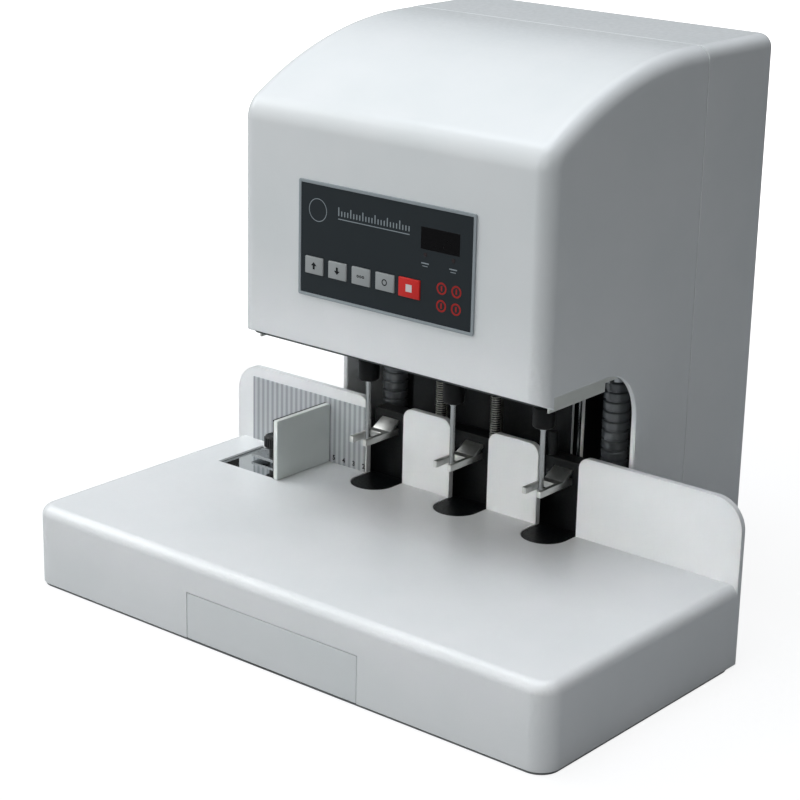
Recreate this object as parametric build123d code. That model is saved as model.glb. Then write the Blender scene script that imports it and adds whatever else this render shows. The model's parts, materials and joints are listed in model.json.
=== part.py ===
"""Electric three-hole paper drill: a desk machine with a moulded table, a head over it and
three hollow drills that a motor lowers into a stack of paper.

Millimetres, +Z up. While the pieces are drawn, Y = 0 is the front face of the table, X = 0 is
the middle drill and Z = 0 is the floor. At the end every piece moves so that the origin is
below the middle of the whole machine.
"""
from build123d import *
from math import cos, pi, radians, sin, sqrt, tan
import os

# ---------------------------------------------------------------- driving sizes
# Table and fence: one white moulding that is open below.
table_width = 463.0
table_depth = 220.5
table_top = 61.0
rim_height = 2.0
table_wall = 4.0
table_corner = 15.0
table_edge = 8.0
fence_wall = 4.5
fence_top = 121.0
fence_corner = 22.0
tab_corner = 8.0
fence_front = table_depth - fence_wall
half_table = table_width / 2

# Drilling positions and the U-shaped cut-outs round them.
drill_pitch = 80.0
drill_setback = 20.0
drill_line = fence_front - drill_setback
notch_width = 35.3
notch_reach = 12.2
notch_radius = notch_width / 2
notch_centre = fence_front - notch_reach

# Head housing.
head_width = 268.0
head_overhang = 80.0
head_front = drill_line - head_overhang
head_top = 404.5
head_wall = 4.0
half_head = head_width / 2
inner_half = half_head - head_wall
head_side_round = 12.0
brow_radius = 22.0
brow_turn = 59.0
crown_radius = 300.0
front_wall_bottom = 190.5
lip_reach = 15.5
lip_drop = 6.5
side_wall_bottom = 192.5
seam_gap = 0.5
housing_foot = 4.0
leg_front = table_depth + 9.0
arch_radius = 38.0
rear_side_round = 10.0
rear_edge_round = 4.0

# Clearances.
slide_gap = 0.3
seat_gap = 0.5
bore_gap = 0.05
cover_gap = 0.6

# Base plate, feet and posts.
plate_bottom = 5.0
plate_thickness = 3.0
plate_margin = 1.5
foot_radius = 10.0
foot_inset = 22.0
foot_line = 52.0
post_radius = 5.0
post_inset_x = 26.0
post_front = 30.0
post_back = 165.0
screw_radius = 1.6
screw_head = 3.4
screw_grip = 8.0
screw_cap = 1.4
screw_clearance = 0.2

# Steel frame behind the fence.
frame_reach = 94.0
bulkhead_front = drill_line + frame_reach
bulkhead_thickness = 3.0
rear_depth = 90.0
head_back = bulkhead_front + rear_depth
seam = bulkhead_front + 2 * bulkhead_thickness
cheek_middle = 76.0
cheek_thickness = 3.0
cheek_front = drill_line + 54.0
cheek_toe = table_depth + 3.5
window_margin = 1.5
window_drop = 12.0
window_rise = 4.0
top_plate_bottom = 330.0
top_plate_thickness = 4.0
top_plate_front = drill_line + 44.0
cable_hole_z = 60.0
cable_hole = 12.0
column_spread = 110.0
column_radius = 7.0
column_line = bulkhead_front - 2 * column_radius

# Bench with the cutting pads.
pad_top = 60.5
pad_thickness = 8.0
pad_clearance = 0.5
bench_thickness = 3.0
bench_front = drill_line - 12.0
bench_back = drill_line + 47.2
bench_half = inner_half - 12.0
screen_top = 93.0
screen_middle_top = 183.0
screen_gap = 1.5

# Waste drawer.
drawer_face_width = 154.0
drawer_face_top = 35.7
drawer_offset = 1.8
drawer_half = 72.0
drawer_back = drill_line + 70.0
drawer_top = 34.0
drawer_wall = 2.0
grip_half = 25.0
grip_height = 4.0

# Side guide with its slot, slide plate and clamp knob.
guide_room = half_table - drill_pitch - notch_radius
slot_left = -half_table + 0.25 * guide_room
slot_right = -half_table + 0.7 * guide_room
slot_back = fence_front - 8.5
slot_front = slot_back - 49.5
slot_skin = 1.6
slide_left = slot_left - 2.5
slide_right = -half_table + 0.84 * guide_room
slide_thickness = 2.0
slide_margin = 4.0
guide_run_left = 0.18 * guide_room
guide_run_right = 0.15 * guide_room
guide_face = slot_right + 3.8
guide_thickness = 4.0
guide_back = fence_front - 1.2
guide_front = guide_back - 59.8
guide_height = 47.0
backing_thickness = 1.5
foot_left = -half_table + 0.34 * guide_room
foot_width = 16.0
foot_thickness = 2.0
knob_x = -half_table + 0.467 * guide_room
knob_y = drill_line - 6.0
knob_radius = 8.0
knob_height = 10.0
knob_bottom = 71.0
knob_neck = 4.0

# Scale plate on the fence.
scale_left = -half_table + 16.5
scale_right = -drill_pitch - notch_radius - 1.35
scale_top = 112.5
scale_thickness = 0.8

# Control panel.
panel_width = 155.0
panel_height = 82.5
panel_bottom = 226.5
panel_corner = 1.5
bezel_width = 2.2
bezel_thickness = 1.4
face_thickness = 1.0
face_rim = 3.0
key_width = 16.4
key_height = 12.2
key_pitch = 21.3
key_first = -panel_width / 2 + 14.9
key_middle = 249.2
stop_key_width = 18.4
stop_key_height = 13.4
key_proud = 0.9
key_flange = 1.0
key_travel = 0.8
display_middle = 47.9
display_width = 33.0
display_height = 15.2
display_level = 285.8
lamp_left = 35.5
lamp_right = 59.3
lamp_level = 274.6
lamp_radius = 1.5
board_thickness = 1.6

# Head pan and the two ribbed hoses.
pan_bottom = 187.0
pan_thickness = 1.5
pan_flange = 18.0
pan_back = drill_line + 50.0
pan_ear_inner = 84.0
pan_hole = 11.0
rod_hole = 8.0
skirt_front = head_front + lip_reach
skirt_drop = 6.2
hose_x = inner_half - 28.5
hose_y = drill_line + 58.0
pan_ear_reach = 16.0
pan_ear_back = hose_y + pan_ear_reach
hose_top = 179.0
hose_bottom = 70.0
hose_crest = 10.0
hose_root = 8.6
hose_bore = 7.4
rib_pitch = 7.3
rib_crest_share = 0.62
rib_flank_share = 0.13
hose_cuff = 8.5
clamp_height = 7.0
clamp_wall = 1.2
clamp_ear = 5.0
spigot_wall = 1.2
spigot_depth = 12.0
chute_bend = 62.0
chute_mouth_x = 58.0
chute_mouth_z = 43.0
chute_turn = 18.0

# Carriage and what it carries.
carriage_bottom = 226.0
feed_down = 34.0
carriage_thickness = 12.0
carriage_half = inner_half - 26.0
carriage_front = drill_line - 64.0
carriage_neck = pan_back
carriage_back = bulkhead_front - 4.0
carriage_neck_half = 72.0
bush_radius = 10.0
bush_boss = 12.0
bush_bottom = 205.0
bush_top = 259.0
screw_line = bulkhead_front - 28.0
feed_screw_radius = 6.0
feed_screw_bottom = 184.0
nut_radius = 9.0
nut_bottom = 222.0
nut_top = 250.0
quill_radius = 15.0
quill_top = 292.0
bearing_radius = 12.0
bearing_height = 8.0
spindle_radius = 6.0
barrel_radius = 7.0
chuck_radius = 8.0
chuck_bottom = 144.0
chuck_top = 190.0
chuck_bevel = 1.5
chip_window_bottom = 198.0
chip_window_height = 14.0
chip_window_width = 5.0
drill_radius = 2.0
drill_bore = 1.4
shank_radius = 4.0
shank_length = 24.0
drill_tip = 95.0
tip_bevel = 0.6
pulley_radius = 18.0
pulley_bottom = 296.0
pulley_height = 12.0
motor_pulley_radius = 12.0
belt_inset = 1.5
belt_thickness = 1.6
motor_x = 40.0
motor_y = drill_line - 38.0
motor_radius = 26.0
motor_height = 54.0
motor_shaft = 3.0
feed_motor_radius = 19.0
feed_motor_height = head_top - head_wall - 14.5 - top_plate_bottom - top_plate_thickness

# Press beam, rods, springs and forks.
beam_half = drill_pitch + 15.0
beam_front = drill_line + 26.5
beam_back = drill_line + 40.0
beam_bottom = 99.0
beam_top = 113.0
rod_line = drill_line + 31.0
rod_spread = 50.5
rod_middle = -9.5
rod_radius = 3.0
rod_top = 245.0
stud_x = 67.0
stud_radius = 3.7
stud_height = 17.5
collar_radius = 6.0
collar_height = 5.0
sleeve_radius = 6.0
sleeve_bottom = 197.0
spring_outer = 5.0
spring_wire = 1.0
spring_turns = 47
spring_tail_bend = 1.4
fork_front = drill_line - 11.5
fork_half = 8.2
fork_gap_half = 4.75
fork_bottom = 95.8
fork_height = 5.0
fork_yoke_front = drill_line + 9.5
fork_plate_front = drill_line + 15.5
fork_plate_top = 107.2
fork_plate_thickness = 2.5

# Power entry at the back.
inlet_x = 84.0
inlet_z = 60.0
inlet_width = 28.0
inlet_height = 48.0
inlet_flange = 4.0
inlet_flange_thickness = 1.5
inlet_depth = 26.0
socket_width = 19.0
socket_height = 13.0
socket_depth = 16.0
socket_drop = 10.0
rocker_pocket = 8.0
rocker_width = 19.0
rocker_height = 13.0
rocker_rise = 13.0
rocker_depth = 7.0
rocker_dip = 1.6
vent_slots = 9
vent_width = 4.0
vent_height = 44.0
vent_pitch = 11.0
vent_middle = 290.0
supply_half = 80.0
supply_bottom = 110.0
supply_top = 250.0
supply_thickness = 2.0
supply_standoff = 4.0
supply_post_inset = 6.0
supply_post_half = 3.0
transformer_x = (-55.0, -5.0)
transformer_z = (130.0, 176.0)
transformer_depth = 42.0
capacitor_x = (20.0, 44.0)
capacitor_z = (134.0, 170.0)
capacitor_depth = 26.0

# ---------------------------------------------------------------- sizes that follow
table_under = table_top - table_wall
plate_top = plate_bottom + plate_thickness
drill_places = {"left": -drill_pitch, "middle": 0.0, "right": drill_pitch}
pad_bottom = pad_top - pad_thickness
bench_bottom = pad_bottom - bench_thickness
carriage_top = carriage_bottom + carriage_thickness
cheek_inner = cheek_middle - cheek_thickness / 2
cheek_outer = cheek_middle + cheek_thickness / 2
overall_depth = head_back + inlet_flange_thickness
pieces = {}


# ---------------------------------------------------------------- helpers
def block(x0, x1, y0, y1, z0, z1):
    """A box between two corners."""
    middle = ((x0 + x1) / 2, (y0 + y1) / 2, (z0 + z1) / 2)
    return Pos(*middle) * Box(x1 - x0, y1 - y0, z1 - z0)


def post(x, y, z0, z1, radius):
    """An upright cylinder."""
    return Pos(x, y, (z0 + z1) / 2) * Cylinder(radius, z1 - z0)


def ring(x, y, z0, z1, outer, inner):
    """An upright tube."""
    return post(x, y, z0, z1, outer) - post(x, y, z0, z1, inner)


def across(sketch, half):
    """A sketch in Y and Z, drawn out to both sides along X."""
    return extrude(Plane.YZ * sketch, amount=half, both=True)


def along(sketch, y0, y1):
    """A sketch in X and Z, drawn out from y0 to y1."""
    return extrude(Plane.XZ.offset(-y0) * sketch, amount=y1 - y0, dir=(0, 1, 0))


def upward(sketch, z0, z1):
    """A sketch in X and Y, drawn out from z0 to z1."""
    return extrude(Pos(0, 0, z0) * sketch, amount=z1 - z0)


def area(u0, u1, v0, v1):
    """A rectangle between two corners of a sketch."""
    return Pos((u0 + u1) / 2, (v0 + v1) / 2) * Rectangle(u1 - u0, v1 - v0)


def mirrored(solid):
    """The same piece on the other side of the middle."""
    return mirror(solid, about=Plane.YZ)


# ---------------------------------------------------------------- table and base
def notch_plan(x, spread):
    """The U-shaped cut-out of one drill, seen from above."""
    radius = notch_radius + spread
    round_end = Pos(x, notch_centre) * Circle(radius)
    straight = area(x - radius, x + radius, notch_centre, table_depth + 1)
    return round_end + straight


def fence_outline():
    """The fence from the front, with its three notches and rounded tabs."""
    sheet = area(-half_table, half_table, rim_height, fence_top)
    for x in drill_places.values():
        sheet -= area(x - notch_radius, x + notch_radius, pad_bottom, fence_top + 1)
    tops = [v for v in sheet.vertices() if abs(v.Y - fence_top) < 0.01]
    sheet = fillet([v for v in tops if abs(v.X) < half_table - 1], tab_corner)
    ends = [v for v in sheet.vertices() if v.Y > fence_top - 0.01 and abs(v.X) > half_table - 1]
    return fillet(ends, fence_corner)


def slide_rails():
    """Moulded ledges below the table that carry the slide plate of the side guide."""
    rail_top = table_top - slot_skin - 2 * slide_gap - slide_thickness
    back = slot_back + slide_margin + slide_gap
    front = slot_front - slide_margin - slide_gap
    left = slide_left - guide_run_left
    ledge = slide_margin + slide_gap
    rails = block(left, slide_right, front - table_wall, front, rail_top - 2, table_under + 0.5)
    rails += block(left, slide_right, front, front + ledge, rail_top - 2, rail_top)
    rails += block(left, slide_right, back, fence_front, rail_top - 2, table_under + 0.5)
    rails += block(left, slide_right, back - ledge, back, rail_top - 2, rail_top)
    return rails


def post_places():
    """Where the table cover is screwed to the base plate."""
    out = half_table - post_inset_x
    beside_slot = slot_front - slide_margin - table_wall - 2 * post_radius
    return [(-out, post_front), (out, post_front), (-out, beside_slot), (out, post_back)]


def make_table_cover():
    """Table, side walls and fence in one moulding."""
    body = block(-half_table, half_table, 0, table_depth, rim_height, table_top)
    corners = body.edges().filter_by(Axis.Z).group_by(Axis.Y)[0]
    body = fillet(corners, table_corner)
    top_edges = [e for e in body.faces().sort_by(Axis.Z)[-1].edges()
                 if e.center().Y < table_depth - 0.1]
    body = fillet(top_edges, table_edge)
    hollow = block(-half_table + table_wall, half_table - table_wall,
                   table_wall, fence_front, rim_height - 1, table_under)
    hollow = fillet(hollow.edges().filter_by(Axis.Z).group_by(Axis.Y)[0],
                    table_corner - table_wall)
    body -= hollow
    body += along(fence_outline(), fence_front, table_depth)
    for x in drill_places.values():
        body -= upward(notch_plan(x, 0), pad_bottom, fence_top + 1)
    body += slide_rails()
    skin = table_top - slot_skin
    body -= block(slide_left - guide_run_left - seat_gap, slide_right + guide_run_right + seat_gap,
                  slot_front - slide_margin - slide_gap, slot_back + slide_margin + slide_gap,
                  table_under - 1, skin)
    body -= block(slot_left, slot_right, slot_front, slot_back, skin - 1, table_top + 1)
    for x, y in post_places():
        body += post(x, y, plate_top, table_under + 0.5, post_radius)
        body -= post(x, y, plate_top - 1, plate_top + screw_grip, screw_radius)
    low = drawer_offset - drawer_face_width / 2 - cover_gap
    high = drawer_offset + drawer_face_width / 2 + cover_gap
    body -= block(low, high, -1, table_wall + 1, rim_height - 1, drawer_face_top + cover_gap)
    body -= block(-inner_half, inner_half, fence_front - 1, table_depth + 1,
                  rim_height - 1, pad_bottom + 0.4)
    return body


def make_base_plate():
    """The steel plate that everything stands on."""
    half = half_table - table_wall - plate_margin
    front = block(-half, half, table_wall + plate_margin, fence_front - plate_margin,
                  plate_bottom, plate_top)
    front = fillet(front.edges().filter_by(Axis.Z).group_by(Axis.Y)[0], table_corner - table_wall)
    rear = block(-inner_half + seat_gap, inner_half - seat_gap, fence_front - plate_margin,
                 head_back - head_wall - seat_gap, plate_bottom, plate_top)
    plate = front + rear
    for x, y in post_places():
        plate -= post(x, y, plate_bottom - 1, plate_top + 1, screw_radius + screw_clearance)
    return plate


def make_feet():
    """Six low rubber feet."""
    out = half_table - foot_inset - table_wall
    back = head_back - foot_inset - head_wall
    rear = half_head - foot_inset
    places = [(-out, foot_line), (out, foot_line), (-out, fence_front - foot_inset),
              (out, fence_front - foot_inset), (-rear, back), (rear, back)]
    feet = [post(x, y, 0, plate_bottom, foot_radius) for x, y in places]
    return Compound(children=[chamfer(f.edges().group_by(Axis.Z)[0], 1.0) for f in feet])


def make_pads():
    """Three black cutting pads that fill the cut-outs of the table."""
    pads = []
    for x in drill_places.values():
        pads.append(upward(notch_plan(x, -pad_clearance), pad_bottom, pad_top))
    return Compound(children=pads)


def make_bench():
    """Folded sheet bench that carries the pads, with a screen standing up at its back."""
    bench = block(-bench_half, bench_half, bench_front, bench_back, bench_bottom, pad_bottom)
    for side in (-1, 1):
        inner = side * (bench_half - bench_thickness)
        outer = side * bench_half
        bench += block(min(inner, outer), max(inner, outer), bench_front, bench_back,
                       plate_top, bench_bottom)
    screen = bench_back - bench_thickness
    bench += block(-bench_half, bench_half, screen, bench_back, pad_bottom, screen_top)
    between = cheek_inner - screen_gap
    bench += block(-between, between, screen, bench_back, pad_bottom, screen_middle_top)
    return bench


def make_drawer():
    """Waste drawer: an open box behind a face that lies flush in the table's front."""
    left = drawer_offset - drawer_face_width / 2
    right = drawer_offset + drawer_face_width / 2
    face = block(left, right, 0, table_wall, rim_height, drawer_face_top)
    face = fillet(face.edges().filter_by(Axis.Y), 0.8)
    floor = plate_top + slide_gap
    box = block(-drawer_half, drawer_half, table_wall, drawer_back, floor, drawer_top)
    box -= block(-drawer_half + drawer_wall, drawer_half - drawer_wall, table_wall,
                 drawer_back - drawer_wall, floor + drawer_wall, drawer_top + 1)
    grip = block(-grip_half, grip_half, table_wall / 2, table_wall + 1,
                 rim_height - 1, rim_height + grip_height)
    return face + box - grip


# ---------------------------------------------------------------- side guide
def make_guide_slide():
    """Polished plate below the table, with the stud that the clamp knob turns on."""
    top = table_top - slot_skin - slide_gap
    plate = block(slide_left, slide_right, slot_front - slide_margin, slot_back + slide_margin,
                  top - slide_thickness, top)
    stud = post(knob_x, knob_y, top, table_top + slide_gap, knob_neck)
    return plate + stud


def make_guide_backing():
    """Thin metal plate behind the side guide, with a foot under the clamp knob."""
    floor = table_top + slide_gap
    left = guide_face - guide_thickness - backing_thickness
    wall = block(left, left + backing_thickness, guide_front + 1, guide_back,
                 floor, floor + guide_height)
    foot = block(foot_left, left + backing_thickness, knob_y - foot_width / 2,
                 knob_y + foot_width / 2, floor, floor + foot_thickness)
    return wall + foot


def make_side_guide():
    """The plastic stop that the side of the paper rests against."""
    floor = table_top + slide_gap
    plate = block(guide_face - guide_thickness, guide_face, guide_front, guide_back,
                  floor, floor + guide_height)
    return fillet(plate.edges().filter_by(Axis.X), 1.5)


def make_clamp_knob():
    """Black knob that clamps the side guide."""
    low = table_top + slide_gap + foot_thickness
    knob = post(knob_x, knob_y, low, knob_bottom, knob_neck)
    head = post(knob_x, knob_y, knob_bottom, knob_bottom + knob_height, knob_radius)
    head = chamfer(head.edges().group_by(Axis.Z)[-1], 1.0)
    return knob + head


def make_scale_plate():
    """Thin plate on the fence, to the left of the first notch."""
    return block(scale_left, scale_right, fence_front - scale_thickness, fence_front,
                 table_top, scale_top)


# ---------------------------------------------------------------- housing
def head_outline(inset, end, low):
    """Side view of the front shell: upright front, tight brow, long crown."""
    turn = radians(brow_turn)
    brow_z = head_top - crown_radius + (crown_radius - brow_radius) * sin(turn)
    brow_y = head_front + brow_radius
    crown_y = brow_y + (crown_radius - brow_radius) * cos(turn)
    crown_z = head_top - crown_radius
    front = head_front + inset
    top = head_top - inset
    edge = Line((front, low), (front, brow_z))
    edge += CenterArc((brow_y, brow_z), brow_radius - inset, 180, -brow_turn)
    edge += CenterArc((crown_y, crown_z), crown_radius - inset, 180 - brow_turn, brow_turn - 90)
    edge += Polyline((crown_y, top), (end, top), (end, low), (front, low))
    return make_face(edge)


def rounded_head(inset, end, low, side_round):
    """The front shell's solid, with its side edges rounded."""
    solid = across(head_outline(inset, end, low), half_head - inset)
    edges = []
    for face in (solid.faces().sort_by(Axis.X)[0], solid.faces().sort_by(Axis.X)[-1]):
        edges += [e for e in face.edges()
                  if e.center().Y < end - 0.1 and e.center().Z > low + 0.1]
    return fillet(edges, side_round)


def make_front_shell():
    """Front shell of the head, with its arched side walls and the panel's window."""
    outer = rounded_head(0, seam, housing_foot, head_side_round)
    inner = rounded_head(head_wall, seam + 1, housing_foot - 1, head_side_round - head_wall)
    shell = outer - inner
    lip_end = head_front + lip_reach
    throat = area(lip_end, leg_front, housing_foot - 1, side_wall_bottom)
    arch = [v for v in throat.vertices() if v.X > leg_front - 0.1 and v.Y > side_wall_bottom - 0.1]
    throat = fillet(arch, arch_radius)
    shell -= across(throat, half_head + 1)
    lip = Polyline((head_front - 1, housing_foot - 1), (lip_end + 0.01, housing_foot - 1),
                   (lip_end + 0.01, front_wall_bottom - lip_drop),
                   (head_front, front_wall_bottom), (head_front - 1, front_wall_bottom),
                   (head_front - 1, housing_foot - 1))
    shell -= across(make_face(lip), half_head + 1)
    rim = bezel_width + face_rim
    shell -= block(-panel_width / 2 + rim, panel_width / 2 - rim, head_front - 1,
                   head_front + head_wall + 1, panel_bottom + rim,
                   panel_bottom + panel_height - rim)
    return shell


def rear_outline(inset, low):
    """Rear view of the rear shell."""
    half = half_head - inset
    sheet = area(-half, half, low, head_top - inset)
    tops = [v for v in sheet.vertices() if v.Y > head_top - inset - 0.1]
    return fillet(tops, rear_side_round - inset)


def make_rear_shell():
    """Rear shell with its power entry and ventilation slots."""
    start = seam + seam_gap
    outer = along(rear_outline(0, housing_foot), start, head_back)
    back_edges = [e for e in outer.faces().sort_by(Axis.Y)[-1].edges()
                  if e.center().Z > housing_foot + 0.1]
    outer = fillet(back_edges, rear_edge_round)
    inner = along(rear_outline(head_wall, housing_foot - 1), start - 1, head_back - head_wall)
    shell = outer - inner
    shell -= block(inlet_x - inlet_width / 2, inlet_x + inlet_width / 2, head_back - head_wall - 1,
                   head_back + 1, inlet_z - inlet_height / 2, inlet_z + inlet_height / 2)
    for n in range(vent_slots):
        x = (n - (vent_slots - 1) / 2) * vent_pitch
        shell -= block(x - vent_width / 2, x + vent_width / 2, head_back - head_wall - 1,
                       head_back + 1, vent_middle - vent_height / 2, vent_middle + vent_height / 2)
    return shell


# ---------------------------------------------------------------- control panel
def panel_area(inset):
    """The panel's outline from the front, smaller by inset all round."""
    sheet = area(-panel_width / 2 + inset, panel_width / 2 - inset,
                 panel_bottom + inset, panel_bottom + panel_height - inset)
    return sheet


def key_places():
    """Middle, width and height of each key."""
    keys = {}
    for n, name in enumerate(("raise_key", "lower_key", "drill_key", "reset_key")):
        keys[name] = (key_first + n * key_pitch, key_width, key_height)
    keys["stop_key"] = (key_first + 4 * key_pitch, stop_key_width, stop_key_height)
    return keys


def make_bezel():
    """Grey frame round the panel."""
    sheet = fillet(panel_area(0).vertices(), panel_corner) - panel_area(bezel_width)
    return along(sheet, head_front - bezel_thickness, head_front)


def make_panel_face():
    """Dark face with openings for the keys, the display and the lamps."""
    sheet = panel_area(bezel_width + slide_gap / 2)
    for x, width, height in key_places().values():
        sheet -= Pos(x, key_middle) * Rectangle(width + 2 * slide_gap, height + 2 * slide_gap)
    sheet -= Pos(display_middle, display_level) * Rectangle(display_width, display_height)
    for x in (lamp_left, lamp_right):
        sheet -= Pos(x, lamp_level) * Circle(lamp_radius)
    return along(sheet, head_front - face_thickness, head_front)


def make_key(x, width, height):
    """A push key with a flange behind the panel's face."""
    top = head_front - face_thickness
    cap = along(Pos(x, key_middle) * Rectangle(width, height), top - key_proud,
                head_front + slide_gap)
    cap = fillet(cap.faces().sort_by(Axis.Y)[0].edges(), 0.5)
    start = head_front + slide_gap
    flange = along(Pos(x, key_middle) * Rectangle(width + 2, height + 2), start,
                   start + key_flange)
    return cap + flange


def make_display():
    """Dark display window with its module behind."""
    window = Pos(display_middle, display_level) * Rectangle(display_width, display_height)
    return along(window, head_front - face_thickness - 0.1, head_front + head_wall + slide_gap)


def make_lamps():
    """Two small signal lamps below the display."""
    lamps = []
    for x in (lamp_left, lamp_right):
        lens = Pos(x, lamp_level) * Circle(lamp_radius)
        lamps.append(along(lens, head_front - face_thickness - 0.2,
                           head_front + head_wall + slide_gap))
    return Compound(children=lamps)


def make_board():
    """Circuit board behind the front wall, with a switch behind each key."""
    start = head_front + head_wall + slide_gap
    board = along(panel_area(1.0), start, start + board_thickness)
    switch_front = head_front + slide_gap + key_flange + key_travel + 0.1
    for x, _, _ in key_places().values():
        board += block(x - 3, x + 3, switch_front, start + 0.5, key_middle - 3, key_middle + 3)
    return board


# ---------------------------------------------------------------- frame
def make_bulkhead():
    """Upright steel plate between the two shells."""
    low = plate_top
    half = inner_half - seat_gap
    sheet = area(-half, half, low, head_top - head_wall - seat_gap)
    tops = [v for v in sheet.vertices() if v.Y > low + 1]
    sheet = fillet(tops, head_side_round - head_wall + seat_gap)
    sheet -= Pos(0, cable_hole_z) * Circle(cable_hole)
    return along(sheet, bulkhead_front, bulkhead_front + bulkhead_thickness)


def make_cheek():
    """Right cheek of the frame, with a window for the chip chute."""
    sheet = area(cheek_toe, bulkhead_front, plate_top, bench_bottom)
    sheet += area(cheek_front, bulkhead_front, bench_bottom, top_plate_bottom)
    reach = hose_bore + window_margin
    sheet -= area(hose_y - reach, hose_y + reach, bench_bottom - window_drop,
                  chute_bend + window_rise)
    side = extrude(Plane.YZ.offset(cheek_inner) * sheet, amount=cheek_thickness)
    return side


def make_top_plate():
    """Plate on the cheeks that holds the columns and the feed motor."""
    low = top_plate_bottom
    top = top_plate_bottom + top_plate_thickness
    plate = block(-cheek_outer, cheek_outer, top_plate_front, bulkhead_front, low, top)
    for x in (-column_spread / 2, column_spread / 2):
        plate -= post(x, column_line, low - 1, top + 1, column_radius)
    return plate - post(0, screw_line, low - 1, top + 1, feed_screw_radius + slide_gap)


def make_columns():
    """Two ground guide columns."""
    top = top_plate_bottom + top_plate_thickness
    columns = [post(x, column_line, plate_top, top, column_radius)
               for x in (-column_spread / 2, column_spread / 2)]
    return Compound(children=columns)


def make_pan():
    """Dark pan below the head that catches the chips and leads them to the hoses."""
    half = inner_half - 0.4
    front = head_front + head_wall + 1.5
    wall = pan_thickness
    top = pan_bottom + pan_flange
    plan = area(-half, half, front, pan_back)
    plan += area(-half, -pan_ear_inner, front, pan_ear_back)
    plan += area(pan_ear_inner, half, front, pan_ear_back)
    inside = area(-half + wall, half - wall, front + wall, pan_back - wall)
    inside += area(-half + wall, -pan_ear_inner - wall, front + wall, pan_ear_back - wall)
    inside += area(pan_ear_inner + wall, half - wall, front + wall, pan_ear_back - wall)
    corner = head_side_round - head_wall
    plan = fillet(plan.vertices().group_by(Axis.Y)[0], corner)
    inside = fillet(inside.vertices().group_by(Axis.Y)[0], corner - wall)
    pan = upward(plan, pan_bottom, top) - upward(inside, pan_bottom + wall, top + 1)
    for side in (-1, 1):
        inner, outer = sorted((side * (half - wall), side * half))
        pan += block(inner, outer, skirt_front, drill_line, pan_bottom - skirt_drop,
                     pan_bottom + wall)
    carriage_room = carriage_half + 2 * seat_gap
    pan -= block(-carriage_room, carriage_room, pan_back - 2 * wall, carriage_neck + seat_gap,
                 carriage_bottom - feed_down - seat_gap, top + 1)
    for x in drill_places.values():
        pan -= post(x, drill_line, pan_bottom - 1, pan_bottom + wall + 1, pan_hole)
    for x in rod_places():
        pan -= post(x, rod_line, pan_bottom - 1, pan_bottom + wall + 1, rod_hole)
    outer = hose_bore - slide_gap
    for x in (-hose_x, hose_x):
        pan += post(x, hose_y, hose_top - spigot_depth, pan_bottom + wall / 2, outer)
        pan -= post(x, hose_y, hose_top - spigot_depth - 1, pan_bottom + wall + 1,
                    outer - spigot_wall)
    return pan


def make_hose(x):
    """Ribbed hose with its bore; each rib is four circles joined by straight flanks."""
    ribs = int((hose_top - hose_bottom - 2 * hose_cuff) / rib_pitch)
    first = hose_top - hose_cuff - ribs * rib_pitch
    rows = [(hose_bottom, hose_root)]
    flank = rib_pitch * rib_flank_share
    crest = rib_pitch * rib_crest_share
    groove = rib_pitch - crest - 2 * flank
    for n in range(ribs):
        foot = first + n * rib_pitch + groove / 2
        rows.append((foot, hose_root))
        rows.append((foot + flank, hose_crest))
        rows.append((foot + flank + crest, hose_crest))
        rows.append((foot + 2 * flank + crest, hose_root))
    rows.append((hose_top, hose_root))
    circles = []
    for z, radius in rows:
        plane = Plane(origin=(x, hose_y, z), x_dir=(1, 0, 0), z_dir=(0, 0, 1))
        circles.append(plane * Circle(radius))
    return loft(circles, ruled=True) - post(x, hose_y, hose_bottom - 1, hose_top + 1, hose_bore)


def make_hose_clamps():
    """Bright band clamps at the tops of the hoses, with the ears of their screws."""
    clamps = []
    low = hose_top - hose_cuff + seat_gap
    inner = hose_root + bore_gap
    for x in (-hose_x, hose_x):
        band = post(x, hose_y, low, low + clamp_height, inner + clamp_wall)
        reach = inner + clamp_wall + clamp_ear
        band += block(x - 3, x + 3, hose_y - reach, hose_y, low, low + clamp_height)
        band -= post(x, hose_y, low - 1, low + clamp_height + 1, inner)
        clamps.append(band)
    return Compound(children=clamps)


def make_chutes():
    """Bent tubes that lead the chips from the hoses into the drawer."""
    outer = hose_bore - slide_gap
    chutes = []
    for side in (-1, 1):
        route = FilletPolyline((side * hose_x, hose_y, hose_bottom + spigot_depth),
                               (side * hose_x, hose_y, chute_bend),
                               (side * chute_mouth_x, hose_y, chute_mouth_z),
                               radius=chute_turn)
        start = Plane(origin=route @ 0, z_dir=route % 0)
        tube = sweep(start * Circle(outer), path=route)
        bore = sweep(start * Circle(outer - spigot_wall), path=route)
        chutes.append(tube - bore)
    return Compound(children=chutes)


# ---------------------------------------------------------------- carriage
def rod_places():
    """X of the two press rods."""
    return (rod_middle - rod_spread / 2, rod_middle + rod_spread / 2)


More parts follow.
